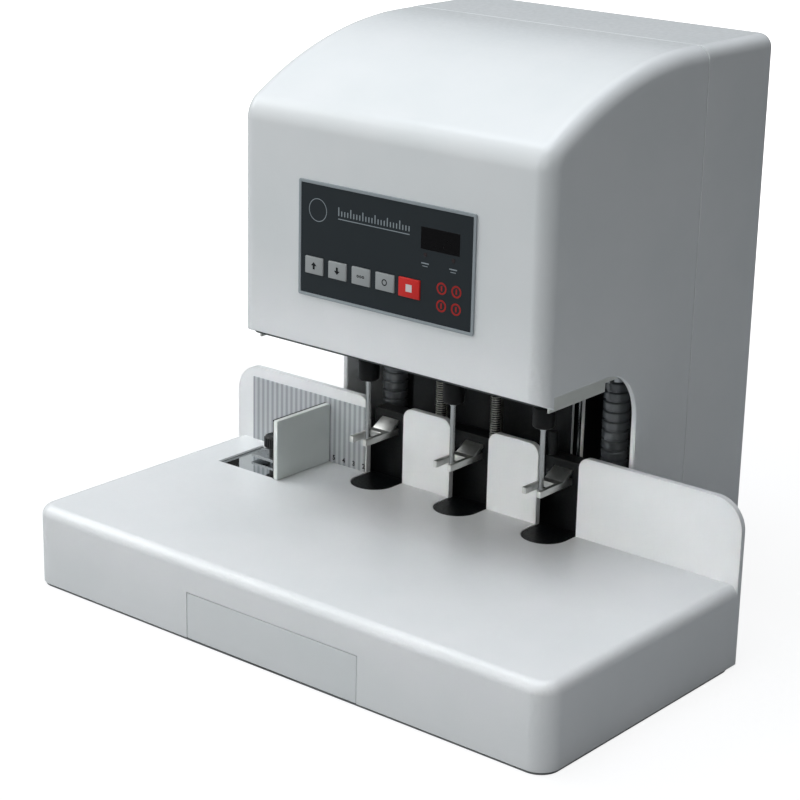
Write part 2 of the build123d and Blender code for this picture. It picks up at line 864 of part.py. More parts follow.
def make_carriage():
    """Cast carriage with three bearing quills and two guide bosses."""
    plan = area(-carriage_half, carriage_half, carriage_front, carriage_neck)
    plan += area(-carriage_neck_half, carriage_neck_half, carriage_front, carriage_back)
    body = upward(plan, carriage_bottom, carriage_top)
    for x in drill_places.values():
        body += post(x, drill_line, carriage_top - 1, quill_top, quill_radius)
    for x in (-column_spread / 2, column_spread / 2):
        body += post(x, column_line, bush_bottom, bush_top, bush_boss)
    for x in rod_places():
        body += post(x, rod_line, sleeve_bottom, carriage_bottom + 1, sleeve_radius)
    for x in drill_places.values():
        body -= post(x, drill_line, carriage_bottom - 1, quill_top + 1,
                     spindle_radius + 2 * slide_gap)
        body -= post(x, drill_line, carriage_bottom - 1, carriage_bottom + bearing_height,
                     bearing_radius)
        body -= post(x, drill_line, quill_top - bearing_height, quill_top + 1, bearing_radius)
    for x in (-column_spread / 2, column_spread / 2):
        body -= post(x, column_line, bush_bottom - 1, bush_top + 1, bush_radius)
    for x in rod_places():
        body -= post(x, rod_line, sleeve_bottom - 1, carriage_top + 1, rod_radius + bore_gap)
    return body - post(0, screw_line, carriage_bottom - 1, carriage_top + 1, nut_radius)


def make_bushes():
    """Bronze bushes on the columns and the nut of the feed screw."""
    bushes = [ring(x, column_line, bush_bottom, bush_top, bush_radius, column_radius + bore_gap)
              for x in (-column_spread / 2, column_spread / 2)]
    bushes.append(ring(0, screw_line, nut_bottom, nut_top, nut_radius,
                       feed_screw_radius + bore_gap))
    return Compound(children=bushes)


def make_bearings():
    """Two ball bearings in each quill, drawn as closed rings."""
    rings = []
    for x in drill_places.values():
        for z in (carriage_bottom, quill_top - bearing_height):
            rings.append(ring(x, drill_line, z, z + bearing_height, bearing_radius,
                              spindle_radius + bore_gap))
    return Compound(children=rings)


def make_spindle(x):
    """Hollow spindle with the chuck at its lower end and a window for the chips."""
    chuck = post(x, drill_line, chuck_bottom, chuck_top, chuck_radius)
    chuck = chamfer(chuck.edges().group_by(Axis.Z)[0], chuck_bevel)
    body = chuck + post(x, drill_line, chuck_top, carriage_bottom - slide_gap, barrel_radius)
    body += post(x, drill_line, carriage_bottom - slide_gap - 1, pulley_bottom + pulley_height,
                 spindle_radius)
    body -= post(x, drill_line, chuck_bottom - 1, chuck_bottom + shank_length, shank_radius)
    body -= post(x, drill_line, chuck_bottom, chip_window_bottom + chip_window_height,
                 drill_bore + 0.4)
    window = block(x - chip_window_width / 2, x + chip_window_width / 2,
                   drill_line - barrel_radius - 1, drill_line, chip_window_bottom,
                   chip_window_bottom + chip_window_height)
    return body - window


def make_drill(x):
    """Hollow drill with a bevelled cutting edge."""
    body = post(x, drill_line, drill_tip, chuck_bottom, drill_radius)
    body = chamfer(body.edges().group_by(Axis.Z)[0], tip_bevel)
    body += post(x, drill_line, chuck_bottom, chuck_bottom + shank_length, shank_radius)
    return body - post(x, drill_line, drill_tip - 1, chuck_bottom + shank_length + 1, drill_bore)


def pulley(x, y, radius, bore):
    """Belt pulley with two flanges."""
    top = pulley_bottom + pulley_height
    wheel = post(x, y, pulley_bottom, top, radius + belt_inset)
    groove = ring(x, y, pulley_bottom + belt_inset, top - belt_inset, radius + 5, radius)
    return wheel - groove - post(x, y, pulley_bottom - 1, top + 1, bore)


def make_spindle_pulley(x):
    """Pulley on a spindle, with the hub that stands on the quill's bearing."""
    wheel = pulley(x, drill_line, pulley_radius, spindle_radius)
    hub = ring(x, drill_line, quill_top + slide_gap, pulley_bottom, spindle_radius + 3,
               spindle_radius)
    return wheel + hub


def make_belt():
    """Flat belt round the motor pulley and the three spindle pulleys."""
    top = pulley_bottom + pulley_height - belt_inset - slide_gap
    low = pulley_bottom + belt_inset + slide_gap
    loops = []
    for spread in (slide_gap, slide_gap + belt_thickness):
        rounds = Curve() + [(Pos(x, drill_line) * Circle(pulley_radius + spread)).edge()
                            for x in (-drill_pitch, drill_pitch)]
        rounds += (Pos(motor_x, motor_y) * Circle(motor_pulley_radius + spread)).edge()
        loops.append(make_hull(rounds.edges()))
    return upward(loops[1] - loops[0], low, top)


def make_spindle_motor():
    """Motor that turns the spindles."""
    body = post(motor_x, motor_y, carriage_top, carriage_top + motor_height, motor_radius)
    body = chamfer(body.edges().group_by(Axis.Z)[-1], 2.0)
    return body


def make_motor_pulley():
    """Motor pulley on its shaft."""
    low = carriage_top + motor_height
    wheel = pulley(motor_x, motor_y, motor_pulley_radius, motor_shaft)
    return wheel + post(motor_x, motor_y, low + slide_gap, pulley_bottom + pulley_height,
                        motor_shaft)


def make_feed_motor():
    """Geared motor on the top plate that turns the feed screw."""
    low = top_plate_bottom + top_plate_thickness
    body = post(0, screw_line, low, low + feed_motor_height, feed_motor_radius)
    body = chamfer(body.edges().group_by(Axis.Z)[-1], 2.0)
    return body


def make_feed_screw():
    """Feed screw that moves the carriage."""
    top = top_plate_bottom + top_plate_thickness - slide_gap
    return post(0, screw_line, feed_screw_bottom, top, feed_screw_radius)


# ---------------------------------------------------------------- press
def make_press_beam():
    """Beam behind the fence with the two rods that it hangs on and a stop stud."""
    beam = block(-beam_half, beam_half, beam_front, beam_back, beam_bottom, beam_top)
    for x in rod_places():
        beam += post(x, rod_line, beam_top - 1, rod_top, rod_radius)
        beam += post(x, rod_line, carriage_top + slide_gap, carriage_top + slide_gap
                     + collar_height, collar_radius)
    beam += post(stud_x, rod_line, beam_top - 1, beam_top + stud_height, stud_radius)
    return beam


def make_fork(x):
    """Presser fork: two prongs beside the drill, a yoke and a sloping plate."""
    top = fork_bottom + fork_height
    fork = block(x - fork_half, x + fork_half, fork_front, beam_front, fork_bottom, top)
    fork -= block(x - fork_gap_half, x + fork_gap_half, fork_front - 1, fork_yoke_front,
                  fork_bottom - 1, top + 1)
    slope = Polyline((fork_plate_front, top), (beam_front, fork_plate_top),
                     (beam_front, fork_plate_top - fork_plate_thickness),
                     (fork_plate_front + 3.5, top - 0.5), (fork_plate_front, top - 0.5),
                     (fork_plate_front, top))
    plate = extrude(Plane.YZ.offset(x - fork_half) * make_face(slope), amount=2 * fork_half)
    return fork + plate


def coil_route(x, low, high):
    """A spring's wire: a helix of tangent arcs with a short straight tail at each end."""
    radius = spring_outer - spring_wire / 2
    tail = spring_wire + spring_tail_bend
    rise = (high - low - 2 * tail) / (2 * pi * spring_turns)

    def place(turn):
        return Vector(x + radius * cos(turn), rod_line + radius * sin(turn),
                      low + tail + rise * turn)

    def heading(turn):
        return Vector(-radius * sin(turn), radius * cos(turn), rise).normalized()

    up = Vector(0, 0, 1)
    first, last = 0.0, 2 * pi * spring_turns
    start = place(first) - heading(first) * spring_tail_bend - up * spring_tail_bend
    end = place(last) + heading(last) * spring_tail_bend + up * spring_tail_bend
    seat = Vector(start.X, start.Y, low)
    ceiling = Vector(end.X, end.Y, high)
    arcs = [Line(seat, start), TangentArc(start, place(first), tangent=up)]
    for n in range(2 * spring_turns):
        a, b = n * pi, (n + 1) * pi
        chord = place(b) - place(a)
        both = heading(a) + heading(b)
        lead = 4 - both.dot(both)
        reach = (sqrt(chord.dot(both) ** 2 + lead * chord.dot(chord)) - chord.dot(both)) / lead
        before = place(a) + heading(a) * reach
        after = place(b) - heading(b) * reach
        meet = (before + after) * 0.5
        arcs.append(TangentArc(place(a), meet, tangent=heading(a)))
        arcs.append(TangentArc(meet, place(b), tangent=after - before))
    arcs.append(TangentArc(place(last), end, tangent=heading(last)))
    arcs.append(Line(end, ceiling))
    return Wire([edge for arc in arcs for edge in arc.edges()])


def least_gap(route):
    """Least distance from the wire to itself, more than half a turn apart."""
    count = spring_turns * 16
    points = [route @ (n / count) for n in range(count + 1)]
    gaps = []
    for n, point in enumerate(points):
        for other in points[n + 9:n + 25]:
            gaps.append((point - other).length)
    return min(gaps) - spring_wire


def make_spring(x):
    """Press spring of one unbroken wire between the beam and the carriage's sleeve."""
    route = coil_route(x, beam_top, sleeve_bottom)
    print(f"spring at X {x:.1f}: least gap between turns {least_gap(route):.2f} mm")
    start = Plane(origin=route @ 0, z_dir=route % 0)
    return sweep(start * Circle(spring_wire / 2), path=route)


# ---------------------------------------------------------------- power
def make_inlet():
    """Power inlet with the frame of the rocker switch above it."""
    flange_x = inlet_width / 2 + inlet_flange
    flange_z = inlet_height / 2 + inlet_flange
    body = block(inlet_x - flange_x, inlet_x + flange_x, head_back,
                 head_back + inlet_flange_thickness, inlet_z - flange_z, inlet_z + flange_z)
    body += block(inlet_x - inlet_width / 2 + 0.2, inlet_x + inlet_width / 2 - 0.2,
                  head_back - inlet_depth, head_back + 0.1,
                  inlet_z - inlet_height / 2 + 0.2, inlet_z + inlet_height / 2 - 0.2)
    face = head_back + inlet_flange_thickness
    socket = block(inlet_x - socket_width / 2, inlet_x + socket_width / 2, face - socket_depth,
                   face + 1, inlet_z - socket_drop - socket_height / 2,
                   inlet_z - socket_drop + socket_height / 2)
    pocket = block(inlet_x - rocker_width / 2, inlet_x + rocker_width / 2, face - rocker_pocket, face + 1,
                   inlet_z + rocker_rise - rocker_height / 2,
                   inlet_z + rocker_rise + rocker_height / 2)
    return body - socket - pocket


def make_rocker():
    """Rocker of the power switch."""
    face = head_back + inlet_flange_thickness
    half = rocker_height / 2 - 2 * slide_gap
    outline = Polyline((face - rocker_depth, 1 - half), (face - rocker_dip, -half),
                       (face - rocker_dip + 0.4, 0), (face - 0.2, half),
                       (face - rocker_depth, half - 1), (face - rocker_depth, 1 - half))
    sheet = Pos(0, inlet_z + rocker_rise) * make_face(outline)
    return extrude(Plane.YZ.offset(inlet_x - rocker_width / 2 + slide_gap) * sheet,
                   amount=rocker_width - 2 * slide_gap)


def make_supply():
    """Power board on the back of the bulkhead."""
    start = bulkhead_front + bulkhead_thickness
    front = start + supply_standoff
    back = front + supply_thickness
    board = block(-supply_half, supply_half, front, back, supply_bottom, supply_top)
    half = supply_post_half
    for x in (-supply_half + supply_post_inset, supply_half - supply_post_inset):
        for z in (supply_bottom + supply_post_inset, supply_top - supply_post_inset):
            board += block(x - half, x + half, start, front + 0.5, z - half, z + half)
    board += block(*transformer_x, back - 0.5, back + transformer_depth, *transformer_z)
    board += block(*capacitor_x, back - 0.5, back + capacitor_depth, *capacitor_z)
    return board


def make_case_screws():
    """Screws that hold the table cover to the base plate."""
    screws = []
    for x, y in post_places():
        shank = post(x, y, plate_bottom - screw_cap, plate_top + screw_grip - seat_gap,
                     screw_radius - screw_clearance)
        head = post(x, y, plate_bottom - screw_cap, plate_bottom, screw_head)
        screws.append(shank + head)
    return Compound(children=screws)


# ---------------------------------------------------------------- build
def build():
    """Make every piece under its name."""
    pieces["table_cover"] = make_table_cover()
    pieces["base_plate"] = make_base_plate()
    pieces["rubber_feet"] = make_feet()
    pieces["cutting_pads"] = make_pads()
    pieces["pad_bench"] = make_bench()
    pieces["chip_drawer"] = make_drawer()
    pieces["guide_slide"] = make_guide_slide()
    pieces["guide_backing"] = make_guide_backing()
    pieces["side_guide"] = make_side_guide()
    pieces["clamp_knob"] = make_clamp_knob()
    pieces["scale_plate"] = make_scale_plate()
    pieces["front_shell"] = make_front_shell()
    pieces["rear_shell"] = make_rear_shell()
    pieces["panel_bezel"] = make_bezel()
    pieces["panel_face"] = make_panel_face()
    pieces["display"] = make_display()
    pieces["signal_lamps"] = make_lamps()
    pieces["panel_board"] = make_board()
    for name, (x, width, height) in key_places().items():
        pieces[name] = make_key(x, width, height)
    pieces["bulkhead"] = make_bulkhead()
    pieces["cheek_right"] = make_cheek()
    pieces["cheek_left"] = mirrored(pieces["cheek_right"])
    pieces["top_plate"] = make_top_plate()
    pieces["guide_columns"] = make_columns()
    pieces["head_pan"] = make_pan()
    pieces["hose_left"] = make_hose(-hose_x)
    pieces["hose_right"] = make_hose(hose_x)
    pieces["hose_clamps"] = make_hose_clamps()
    pieces["chip_chutes"] = make_chutes()
    pieces["carriage"] = make_carriage()
    pieces["carriage_bushes"] = make_bushes()
    pieces["spindle_bearings"] = make_bearings()
    for side, x in drill_places.items():
        pieces["spindle_" + side] = make_spindle(x)
        pieces["drill_" + side] = make_drill(x)
        pieces["pulley_" + side] = make_spindle_pulley(x)
        pieces["fork_" + side] = make_fork(x)
    pieces["drive_belt"] = make_belt()
    pieces["spindle_motor"] = make_spindle_motor()
    pieces["motor_pulley"] = make_motor_pulley()
    pieces["feed_motor"] = make_feed_motor()
    pieces["feed_screw"] = make_feed_screw()
    pieces["press_beam"] = make_press_beam()
    for side, x in zip(("left", "right"), rod_places()):
        pieces["press_spring_" + side] = make_spring(x)
    pieces["power_inlet"] = make_inlet()
    pieces["power_rocker"] = make_rocker()
    pieces["power_supply"] = make_supply()
    pieces["case_screws"] = make_case_screws()


build()
os.makedirs("parts", exist_ok=True)
to_origin = Location((0, -overall_depth / 2, 0))
for name, piece in pieces.items():
    export_step(piece.moved(to_origin), f"parts/{name}.step")
print(f"{len(pieces)} pieces, {table_width:.0f} x {overall_depth:.1f} x {head_top:.1f} mm")
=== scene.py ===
"""Looks of an electric three-hole paper drill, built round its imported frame.

The frame gives the solids and their places. This script keeps the hidden ones, dresses every
one of them, and builds the seen ones again with rounded edges and finer detail. Sizes are in
millimetres in the dataclass fields, and become metres where a mesh is made. As in the part's
drawings, Y = 0 is the front face of the table, X = 0 the middle drill and Z = 0 the floor.
"""
import json
import logging
from dataclasses import dataclass, field
from enum import Enum
from math import cos, pi, radians, sin
from typing import Callable, Iterable

import bmesh
import bpy
from mathutils import Matrix, Vector


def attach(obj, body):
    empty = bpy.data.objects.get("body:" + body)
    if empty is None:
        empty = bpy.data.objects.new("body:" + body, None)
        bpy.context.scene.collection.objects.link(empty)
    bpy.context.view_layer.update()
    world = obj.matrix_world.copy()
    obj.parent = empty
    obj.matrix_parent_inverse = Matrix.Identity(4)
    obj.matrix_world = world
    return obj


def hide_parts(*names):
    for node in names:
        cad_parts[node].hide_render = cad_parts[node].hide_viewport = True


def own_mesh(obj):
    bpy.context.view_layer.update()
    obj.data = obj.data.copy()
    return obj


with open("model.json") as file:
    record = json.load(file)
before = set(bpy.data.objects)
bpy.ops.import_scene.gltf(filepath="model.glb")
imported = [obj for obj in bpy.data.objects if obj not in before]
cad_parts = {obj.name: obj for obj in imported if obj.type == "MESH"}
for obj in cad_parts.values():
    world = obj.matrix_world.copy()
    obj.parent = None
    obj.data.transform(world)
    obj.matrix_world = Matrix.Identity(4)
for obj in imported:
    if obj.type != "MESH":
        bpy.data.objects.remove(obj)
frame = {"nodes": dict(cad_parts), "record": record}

LOG = logging.getLogger("paper_drill")
MM = 0.001
HALF_DEPTH = 190.75
SHARP_EDGE = 40.0
INK_DEPTH = 0.06
SCATTER = (0.004, 0.004, 0.0038)
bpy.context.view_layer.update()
BODY_OF = {node: body for body, members in frame["record"]["behaviour"]["bodies"].items()
           for node in members}


# --- places and numbers
def at(x: float, y: float, z: float) -> Vector:
    """Turn a place on the drawing, in millimetres, into the frame's metres.

    Args:
        x: Place along the row of drills.
        y: Place behind the table's front face.
        z: Height over the floor.

    Returns:
        The place in the row frame.
    """
    return Vector((x, y - HALF_DEPTH, z)) * MM


def linear(colour: str) -> tuple[float, float, float, float]:
    """Turn an sRGB hex colour into the linear values that the shaders take.

    Args:
        colour: Six hex digits after a hash sign.

    Returns:
        Red, green, blue and an alpha of 1.
    """
    parts = [int(colour[i:i + 2], 16) / 255 for i in (1, 3, 5)]
    r, g, b = (c / 12.92 if c <= 0.04045 else ((c + 0.055) / 1.055) ** 2.4 for c in parts)
    return (r, g, b, 1.0)


# --- finishes
def add(tree: bpy.types.NodeTree, kind: str, inputs: dict | None = None,
        **settings) -> bpy.types.Node:
    """Add a node with its settings and links.

    Args:
        tree: The node tree.
        kind: The node's type name.
        inputs: Input name or number to a value, or to the socket that feeds it.
        **settings: Properties of the node.

    Returns:
        The new node.
    """
    node = tree.nodes.new(kind)
    for name, value in settings.items():
        setattr(node, name, value)
    for name, value in (inputs or {}).items():
        if isinstance(value, bpy.types.NodeSocket):
            tree.links.new(value, node.inputs[name])
        else:
            node.inputs[name].default_value = value
    return node


class Grain(Enum):
    """How a surface was made, which decides the pattern of its relief."""

    MOULDED = "even skin of an injection mould"
    SPARK = "fine spark-eroded mould texture"
    BRUSHED = "lines along X from a belt"
    UPRIGHT = "lines along Z from drawing or grinding"
    TURNED = "rings round Z from a lathe"
    CAST = "coarse sand-cast skin"
    FILM = "smooth printed film"


@dataclass(frozen=True)
class Finish:
    """One real surface: what it is made of and how it was worked.

    The relief's size is real, in millimetres. Where it is finer than the picture can show,
    it is drawn coarser, and the finish's comment says so.
    """

    name: str
    colour: str
    drift: str
    grain: Grain
    grain_mm: float
    relief_mm: float
    roughness: float
    metallic: float = 0.0
    specular: float = 0.5
    under: float = 0.0

    def pattern(self, tree: bpy.types.NodeTree, place: bpy.types.NodeSocket,
                ) -> bpy.types.NodeSocket:
        """Make the relief's height pattern.

        Args:
            tree: The material's node tree.
            place: Object coordinates.

        Returns:
            The socket that holds the height, from 0 to 1.
        """
        pitch = 1 / (self.grain_mm * MM)
        stretch = {
            Grain.BRUSHED: (pitch / 40, pitch, pitch),
            Grain.UPRIGHT: (pitch, pitch, pitch / 40),
        }.get(self.grain, (pitch, pitch, pitch))
        mapped = add(tree, "ShaderNodeMapping", {"Vector": place, "Scale": stretch})
        if self.grain is Grain.TURNED:
            wave = add(tree, "ShaderNodeTexWave", {"Vector": mapped.outputs[0], "Scale": 0.31,
                       "Distortion": 0.6, "Detail": 2.0}, wave_type="BANDS",
                       bands_direction="Z")
            return wave.outputs["Fac"]
        if self.grain is Grain.SPARK:
            cells = add(tree, "ShaderNodeTexVoronoi", {"Vector": mapped.outputs[0],
                        "Scale": 1.0}, feature="SMOOTH_F1")
            return cells.outputs["Distance"]
        detail = {Grain.CAST: 6.0, Grain.BRUSHED: 3.0, Grain.UPRIGHT: 3.0}.get(self.grain, 2.0)
        noise = add(tree, "ShaderNodeTexNoise", {"Vector": mapped.outputs[0], "Scale": 1.0,
                    "Detail": detail, "Roughness": 0.55})
        return noise.outputs["Fac"]

    def material(self) -> bpy.types.Material:
        """Make the material, or return it if it is already there.

        Returns:
            The procedural material.
        """
        made = bpy.data.materials.get(self.name)
        if made is not None:
            return made
        made = bpy.data.materials.new(self.name)
        made.use_nodes = True
        tree = made.node_tree
        tree.nodes.clear()
        place = add(tree, "ShaderNodeTexCoord").outputs["Object"]
        height = self.pattern(tree, place)
        clouds = add(tree, "ShaderNodeTexNoise", {"Vector": place, "Scale": 14.0, "Detail": 3.0})
        share = add(tree, "ShaderNodeMapRange", {"Value": clouds.outputs["Fac"],
                    "From Min": 0.35, "From Max": 0.65, "To Min": 0.0, "To Max": 1.0})
        tint = add(tree, "ShaderNodeMix", {"Factor": share.outputs[0], 6: linear(self.colour),
                   7: linear(self.drift)}, data_type="RGBA")
        rough = add(tree, "ShaderNodeMapRange", {"Value": height, "From Min": 0.3,
                    "From Max": 0.7, "To Min": max(0.02, self.roughness * 0.85),
                    "To Max": min(1.0, self.roughness * 1.15)})
        bump = add(tree, "ShaderNodeBump", {"Height": height, "Strength": 1.0,
                   "Distance": self.relief_mm * MM})
        shader = add(tree, "ShaderNodeBsdfPrincipled", {
            "Base Color": tint.outputs[2], "Metallic": self.metallic,
            "Roughness": rough.outputs[0], "Specular IOR Level": self.specular,
            "Normal": bump.outputs[0], "Subsurface Weight": self.under,
            "Subsurface Radius": SCATTER})
        add(tree, "ShaderNodeOutputMaterial", {"Surface": shader.outputs[0]})
        return made


# White ABS from a polished mould: a soft gloss with a slow orange peel in its reflections.
SHELL = Finish("moulded_white_abs", "#EFF1F1", "#EBEEEE", Grain.MOULDED, 4.0, 0.012, 0.22,
               specular=0.42)
# The same ABS on the table, with a touch brighter colour: painted light for the table standing in
# more light than the head.
TABLE_PAINTED_LIGHT = Finish("moulded_white_abs_painted_light", "#F6F7F7", "#F2F4F4", Grain.MOULDED, 4.0, 0.012, 0.22,
               specular=0.42)
# Dark powder-coated sheet: a low sheen with a fine pebble, drawn at twice its size to show.
FRAME_SHEET = Finish("powder_coated_dark_steel", "#1B1D1E", "#222527", Grain.CAST, 1.2, 0.03,
                     0.55, specular=0.3)
# Sheet parts round the drills: the same coating, almost matt, coloured darker still: painted shade
# for the dark interior that they sit in.
SHADED_DARK_SHEET = Finish("powder_coated_steel_painted_shade", "#101213", "#16191A", Grain.CAST, 1.2, 0.03,
                    0.6, specular=0.22)
# The pan below the head, in satin ABS: its dark grey is painted shade for where it sits under the
# front wall.
PAN_PAINTED_SHADE = Finish("satin_abs_painted_shade", "#3B3F40", "#343839", Grain.SPARK, 0.9, 0.01, 0.5, specular=0.35)
# Hard black polyurethane of the cutting pads: smooth, a little bloomed.
PAD = Finish("hard_black_polyurethane", "#0A0C0E", "#0E1113", Grain.MOULDED, 2.0, 0.01, 0.4,
             specular=0.12)
# Skirts of the pan below the side walls: pale ABS with the pan's satin skin.
SKIRT = Finish("satin_pale_abs", "#E4E6E0", "#DADCD6", Grain.SPARK, 0.9, 0.008, 0.5,
               specular=0.35)
# Near-white on the front edges of the dark sheet parts: a painted highlight along those edges.
EDGE_HIGHLIGHT_PAINT = Finish("painted_edge_highlight", "#F0F2F0", "#E2E4E2", Grain.UPRIGHT, 0.5, 0.004, 0.45,
                 metallic=0.1)
# Black moulded rubber of the feet.
RUBBER = Finish("moulded_black_rubber", "#141414", "#1B1B1B", Grain.SPARK, 0.7, 0.02, 0.8,
                specular=0.25)
# Black glass-filled nylon: knob, inlet, rocker and chutes.
NYLON = Finish("glass_filled_black_nylon", "#0E0F10", "#151617", Grain.SPARK, 0.6, 0.01, 0.38,
               specular=0.4)
# Light grey cast acrylic of the side guide: it lets some light into its edges.
ACRYLIC = Finish("grey_opal_acrylic", "#EAEFEC", "#E2E8E5", Grain.FILM, 8.0, 0.004, 0.2,
                 specular=0.6, under=0.3)
# Mirror-polished stainless plate under the table's slot.
MIRROR = Finish("mirror_polished_stainless", "#C9CCCE", "#C3C6C8", Grain.BRUSHED, 0.6, 0.0004,
                0.045, metallic=1.0)
# Bright zinc-plated steel: backing plate, clamps, screws and pins.
ZINC = Finish("zinc_plated_steel", "#B4B7B8", "#A3A6A8", Grain.CAST, 3.0, 0.006, 0.3,
              metallic=1.0)
# Ground and drawn steel rods: fine lines along the rod, drawn at 0.4 mm to show.
ROD = Finish("ground_steel_rod", "#A9ABAC", "#989B9C", Grain.UPRIGHT, 0.4, 0.004, 0.24,
             metallic=1.0)
# Hollow drills: turned and polished tool steel.
TOOL = Finish("polished_tool_steel", "#B9BBBB", "#A7A9AA", Grain.TURNED, 0.5, 0.003, 0.2,
              metallic=1.0)
# Burnished black steel of the chucks, and of the cut edges of the guide's backing.
CHUCK = Finish("blackened_chuck_steel", "#08090A", "#0D0E0F", Grain.TURNED, 0.5, 0.004, 0.4,
               specular=0.15)
# Nickel-plated presser forks: tumbled before plating, so without any lines.
FORK = Finish("satin_nickel_plate", "#E0E1DE", "#CFD0CD", Grain.MOULDED, 2.2, 0.004, 0.4,
              metallic=1.0)
# Music wire of the presser springs.
WIRE = Finish("oiled_music_wire", "#B0B0AA", "#98978E", Grain.CAST, 1.5, 0.003, 0.3,
              metallic=1.0)
# Ribbed polypropylene hose with a satin skin.
HOSE = Finish("ribbed_grey_polypropylene", "#53575A", "#4B4F52", Grain.MOULDED, 3.0, 0.004, 0.2,
              specular=0.8)
# Cast aluminium of the carriage.
CASTING = Finish("sand_cast_aluminium", "#A4A6A7", "#94979A", Grain.CAST, 1.4, 0.06, 0.5,
                 metallic=1.0)
# Turned aluminium of the pulleys.
PULLEY = Finish("turned_aluminium", "#B2B4B6", "#A8AAAC", Grain.TURNED, 0.5, 0.004, 0.3,
                metallic=1.0)
# Oil bronze of the bushes and the feed nut.
BRONZE = Finish("sintered_bronze", "#A07A45", "#8D6A3A", Grain.TURNED, 0.6, 0.006, 0.42,
                metallic=1.0)
# Hardened rings of the ball bearings.
BEARING = Finish("polished_bearing_steel", "#B4B6B7", "#AAACAE", Grain.TURNED, 0.5, 0.002, 0.18,
                 metallic=1.0)
# Neoprene flat belt with a woven back.
BELT = Finish("neoprene_belt", "#17181A", "#1F2022", Grain.UPRIGHT, 0.5, 0.02, 0.7,
              specular=0.25)
# Stoved enamel on the motors.
MOTOR = Finish("stoved_black_enamel", "#17191B", "#1D1F21", Grain.CAST, 1.8, 0.012, 0.35,
               specular=0.45)
# Glass-fibre board with its green solder mask.
BOARD = Finish("green_solder_mask", "#12472B", "#0F3E25", Grain.BRUSHED, 0.8, 0.01, 0.32,
               specular=0.45)
# Anodised grey frame of the panel.
BEZEL = Finish("satin_anodised_grey", "#A0A8AC", "#98A0A4", Grain.CAST, 1.0, 0.004, 0.42,
               specular=0.5)
# Back-printed polyester film on the panel: dark slate with a slight gloss.
FILM = Finish("printed_polyester_slate", "#20282C", "#1D2529", Grain.FILM, 6.0, 0.002, 0.34,
              specular=0.32)
# Silicone keys with a printed top.
KEY = Finish("moulded_grey_key", "#A9ACAC", "#A1A5A5", Grain.SPARK, 0.6, 0.006, 0.5,
             specular=0.35)
RED_KEY = Finish("moulded_red_key", "#E22B26", "#D92621", Grain.SPARK, 0.6, 0.006, 0.45,
                 specular=0.35)
# Tinted acrylic window of the display.
WINDOW = Finish("smoked_acrylic_window", "#070607", "#0A0809", Grain.FILM, 8.0, 0.001, 0.25,
                specular=0.1)
# Clear red epoxy of the signal lamps, unlit.
LAMP = Finish("red_epoxy_lamp", "#1E0E0F", "#240F10", Grain.FILM, 4.0, 0.001, 0.15,
              specular=0.5)
# Screen-printed inks.
PALE_INK = Finish("printed_pale_ink", "#9AA3A8", "#929BA0", Grain.FILM, 3.0, 0.001, 0.5,
                  specular=0.2)
RED_INK = Finish("printed_red_ink", "#B8302B", "#A92925", Grain.FILM, 3.0, 0.001, 0.5,
                 specular=0.2)
DARK_INK = Finish("printed_dark_ink", "#101214", "#16181A", Grain.FILM, 3.0, 0.001, 0.5,
                  specular=0.2)
WHITE_INK = Finish("printed_white_ink", "#E6DEDD", "#DDD6D5", Grain.FILM, 3.0, 0.001, 0.5,
                   specular=0.2)


@dataclass(frozen=True)
class StripedPlate:
    """Printed scale plate: dark and pale upright stripes on satin aluminium.

    The eye reads ten-millimetre steps as pairs of stripes with a thin line in between.
    """

    name: str = "striped_scale_print"
    pale: str = "#C2C6C8"
    dark: str = "#9DA2A5"
    pitch_mm: float = 5.0

    def material(self) -> bpy.types.Material:
        """Make the striped material.

        Returns:
            The procedural material.
        """
        made = bpy.data.materials.new(self.name)
        made.use_nodes = True
        tree = made.node_tree
        tree.nodes.clear()
        place = add(tree, "ShaderNodeTexCoord").outputs["Object"]
        parts = add(tree, "ShaderNodeSeparateXYZ", {0: place})
        steps = add(tree, "ShaderNodeMath", {0: parts.outputs["X"], 1: 1 / (self.pitch_mm * MM)},
                    operation="MULTIPLY")
        wave = add(tree, "ShaderNodeMath", {0: steps.outputs[0]}, operation="FRACT")
        band = add(tree, "ShaderNodeValToRGB", {0: wave.outputs[0]})
        stops = band.color_ramp.elements
        stops[0].position, stops[0].color = 0.0, linear(self.dark)
        stops[1].position, stops[1].color = 1.0, linear(self.dark)
        for where, colour in ((0.30, self.dark), (0.42, self.pale), (0.80, self.pale),
                              (0.92, self.dark)):
            stop = stops.new(where)
            stop.color = linear(colour)
        skin = add(tree, "ShaderNodeTexNoise", {"Vector": place, "Scale": 900.0, "Detail": 3.0})
        bump = add(tree, "ShaderNodeBump", {"Height": skin.outputs["Fac"], "Strength": 0.4,
                   "Distance": 0.00001})
        shader = add(tree, "ShaderNodeBsdfPrincipled", {
            "Base Color": band.outputs[0], "Roughness": 0.36, "Metallic": 0.15,
            "Normal": bump.outputs[0]})
        add(tree, "ShaderNodeOutputMaterial", {"Surface": shader.outputs[0]})
        return made


# --- mesh tools
def turned(bm: bmesh.types.BMesh, profile: Iterable[tuple[float, float]], x: float, y: float,
           steps: int = 40) -> None:
    """Spin a profile round an upright axis.

    Args:
        bm: The mesh that gets the shape.
        profile: Radius and height in millimetres, from the bottom up along the outside.
        x: Place of the axis.
        y: Place of the axis.
        steps: How many faces go round.
    """
    verts = [bm.verts.new(at(x + r, y, z)) for r, z in profile]
    edges = [bm.edges.new(pair) for pair in zip(verts, verts[1:])]
    bmesh.ops.spin(bm, geom=verts + edges, cent=at(x, y, 0), axis=(0, 0, 1), angle=2 * pi,
                   steps=steps, use_merge=True, use_duplicate=False)
    bmesh.ops.remove_doubles(bm, verts=bm.verts, dist=1e-7)
    bmesh.ops.holes_fill(bm, edges=bm.edges, sides=0)
    bmesh.ops.recalc_face_normals(bm, faces=bm.faces)


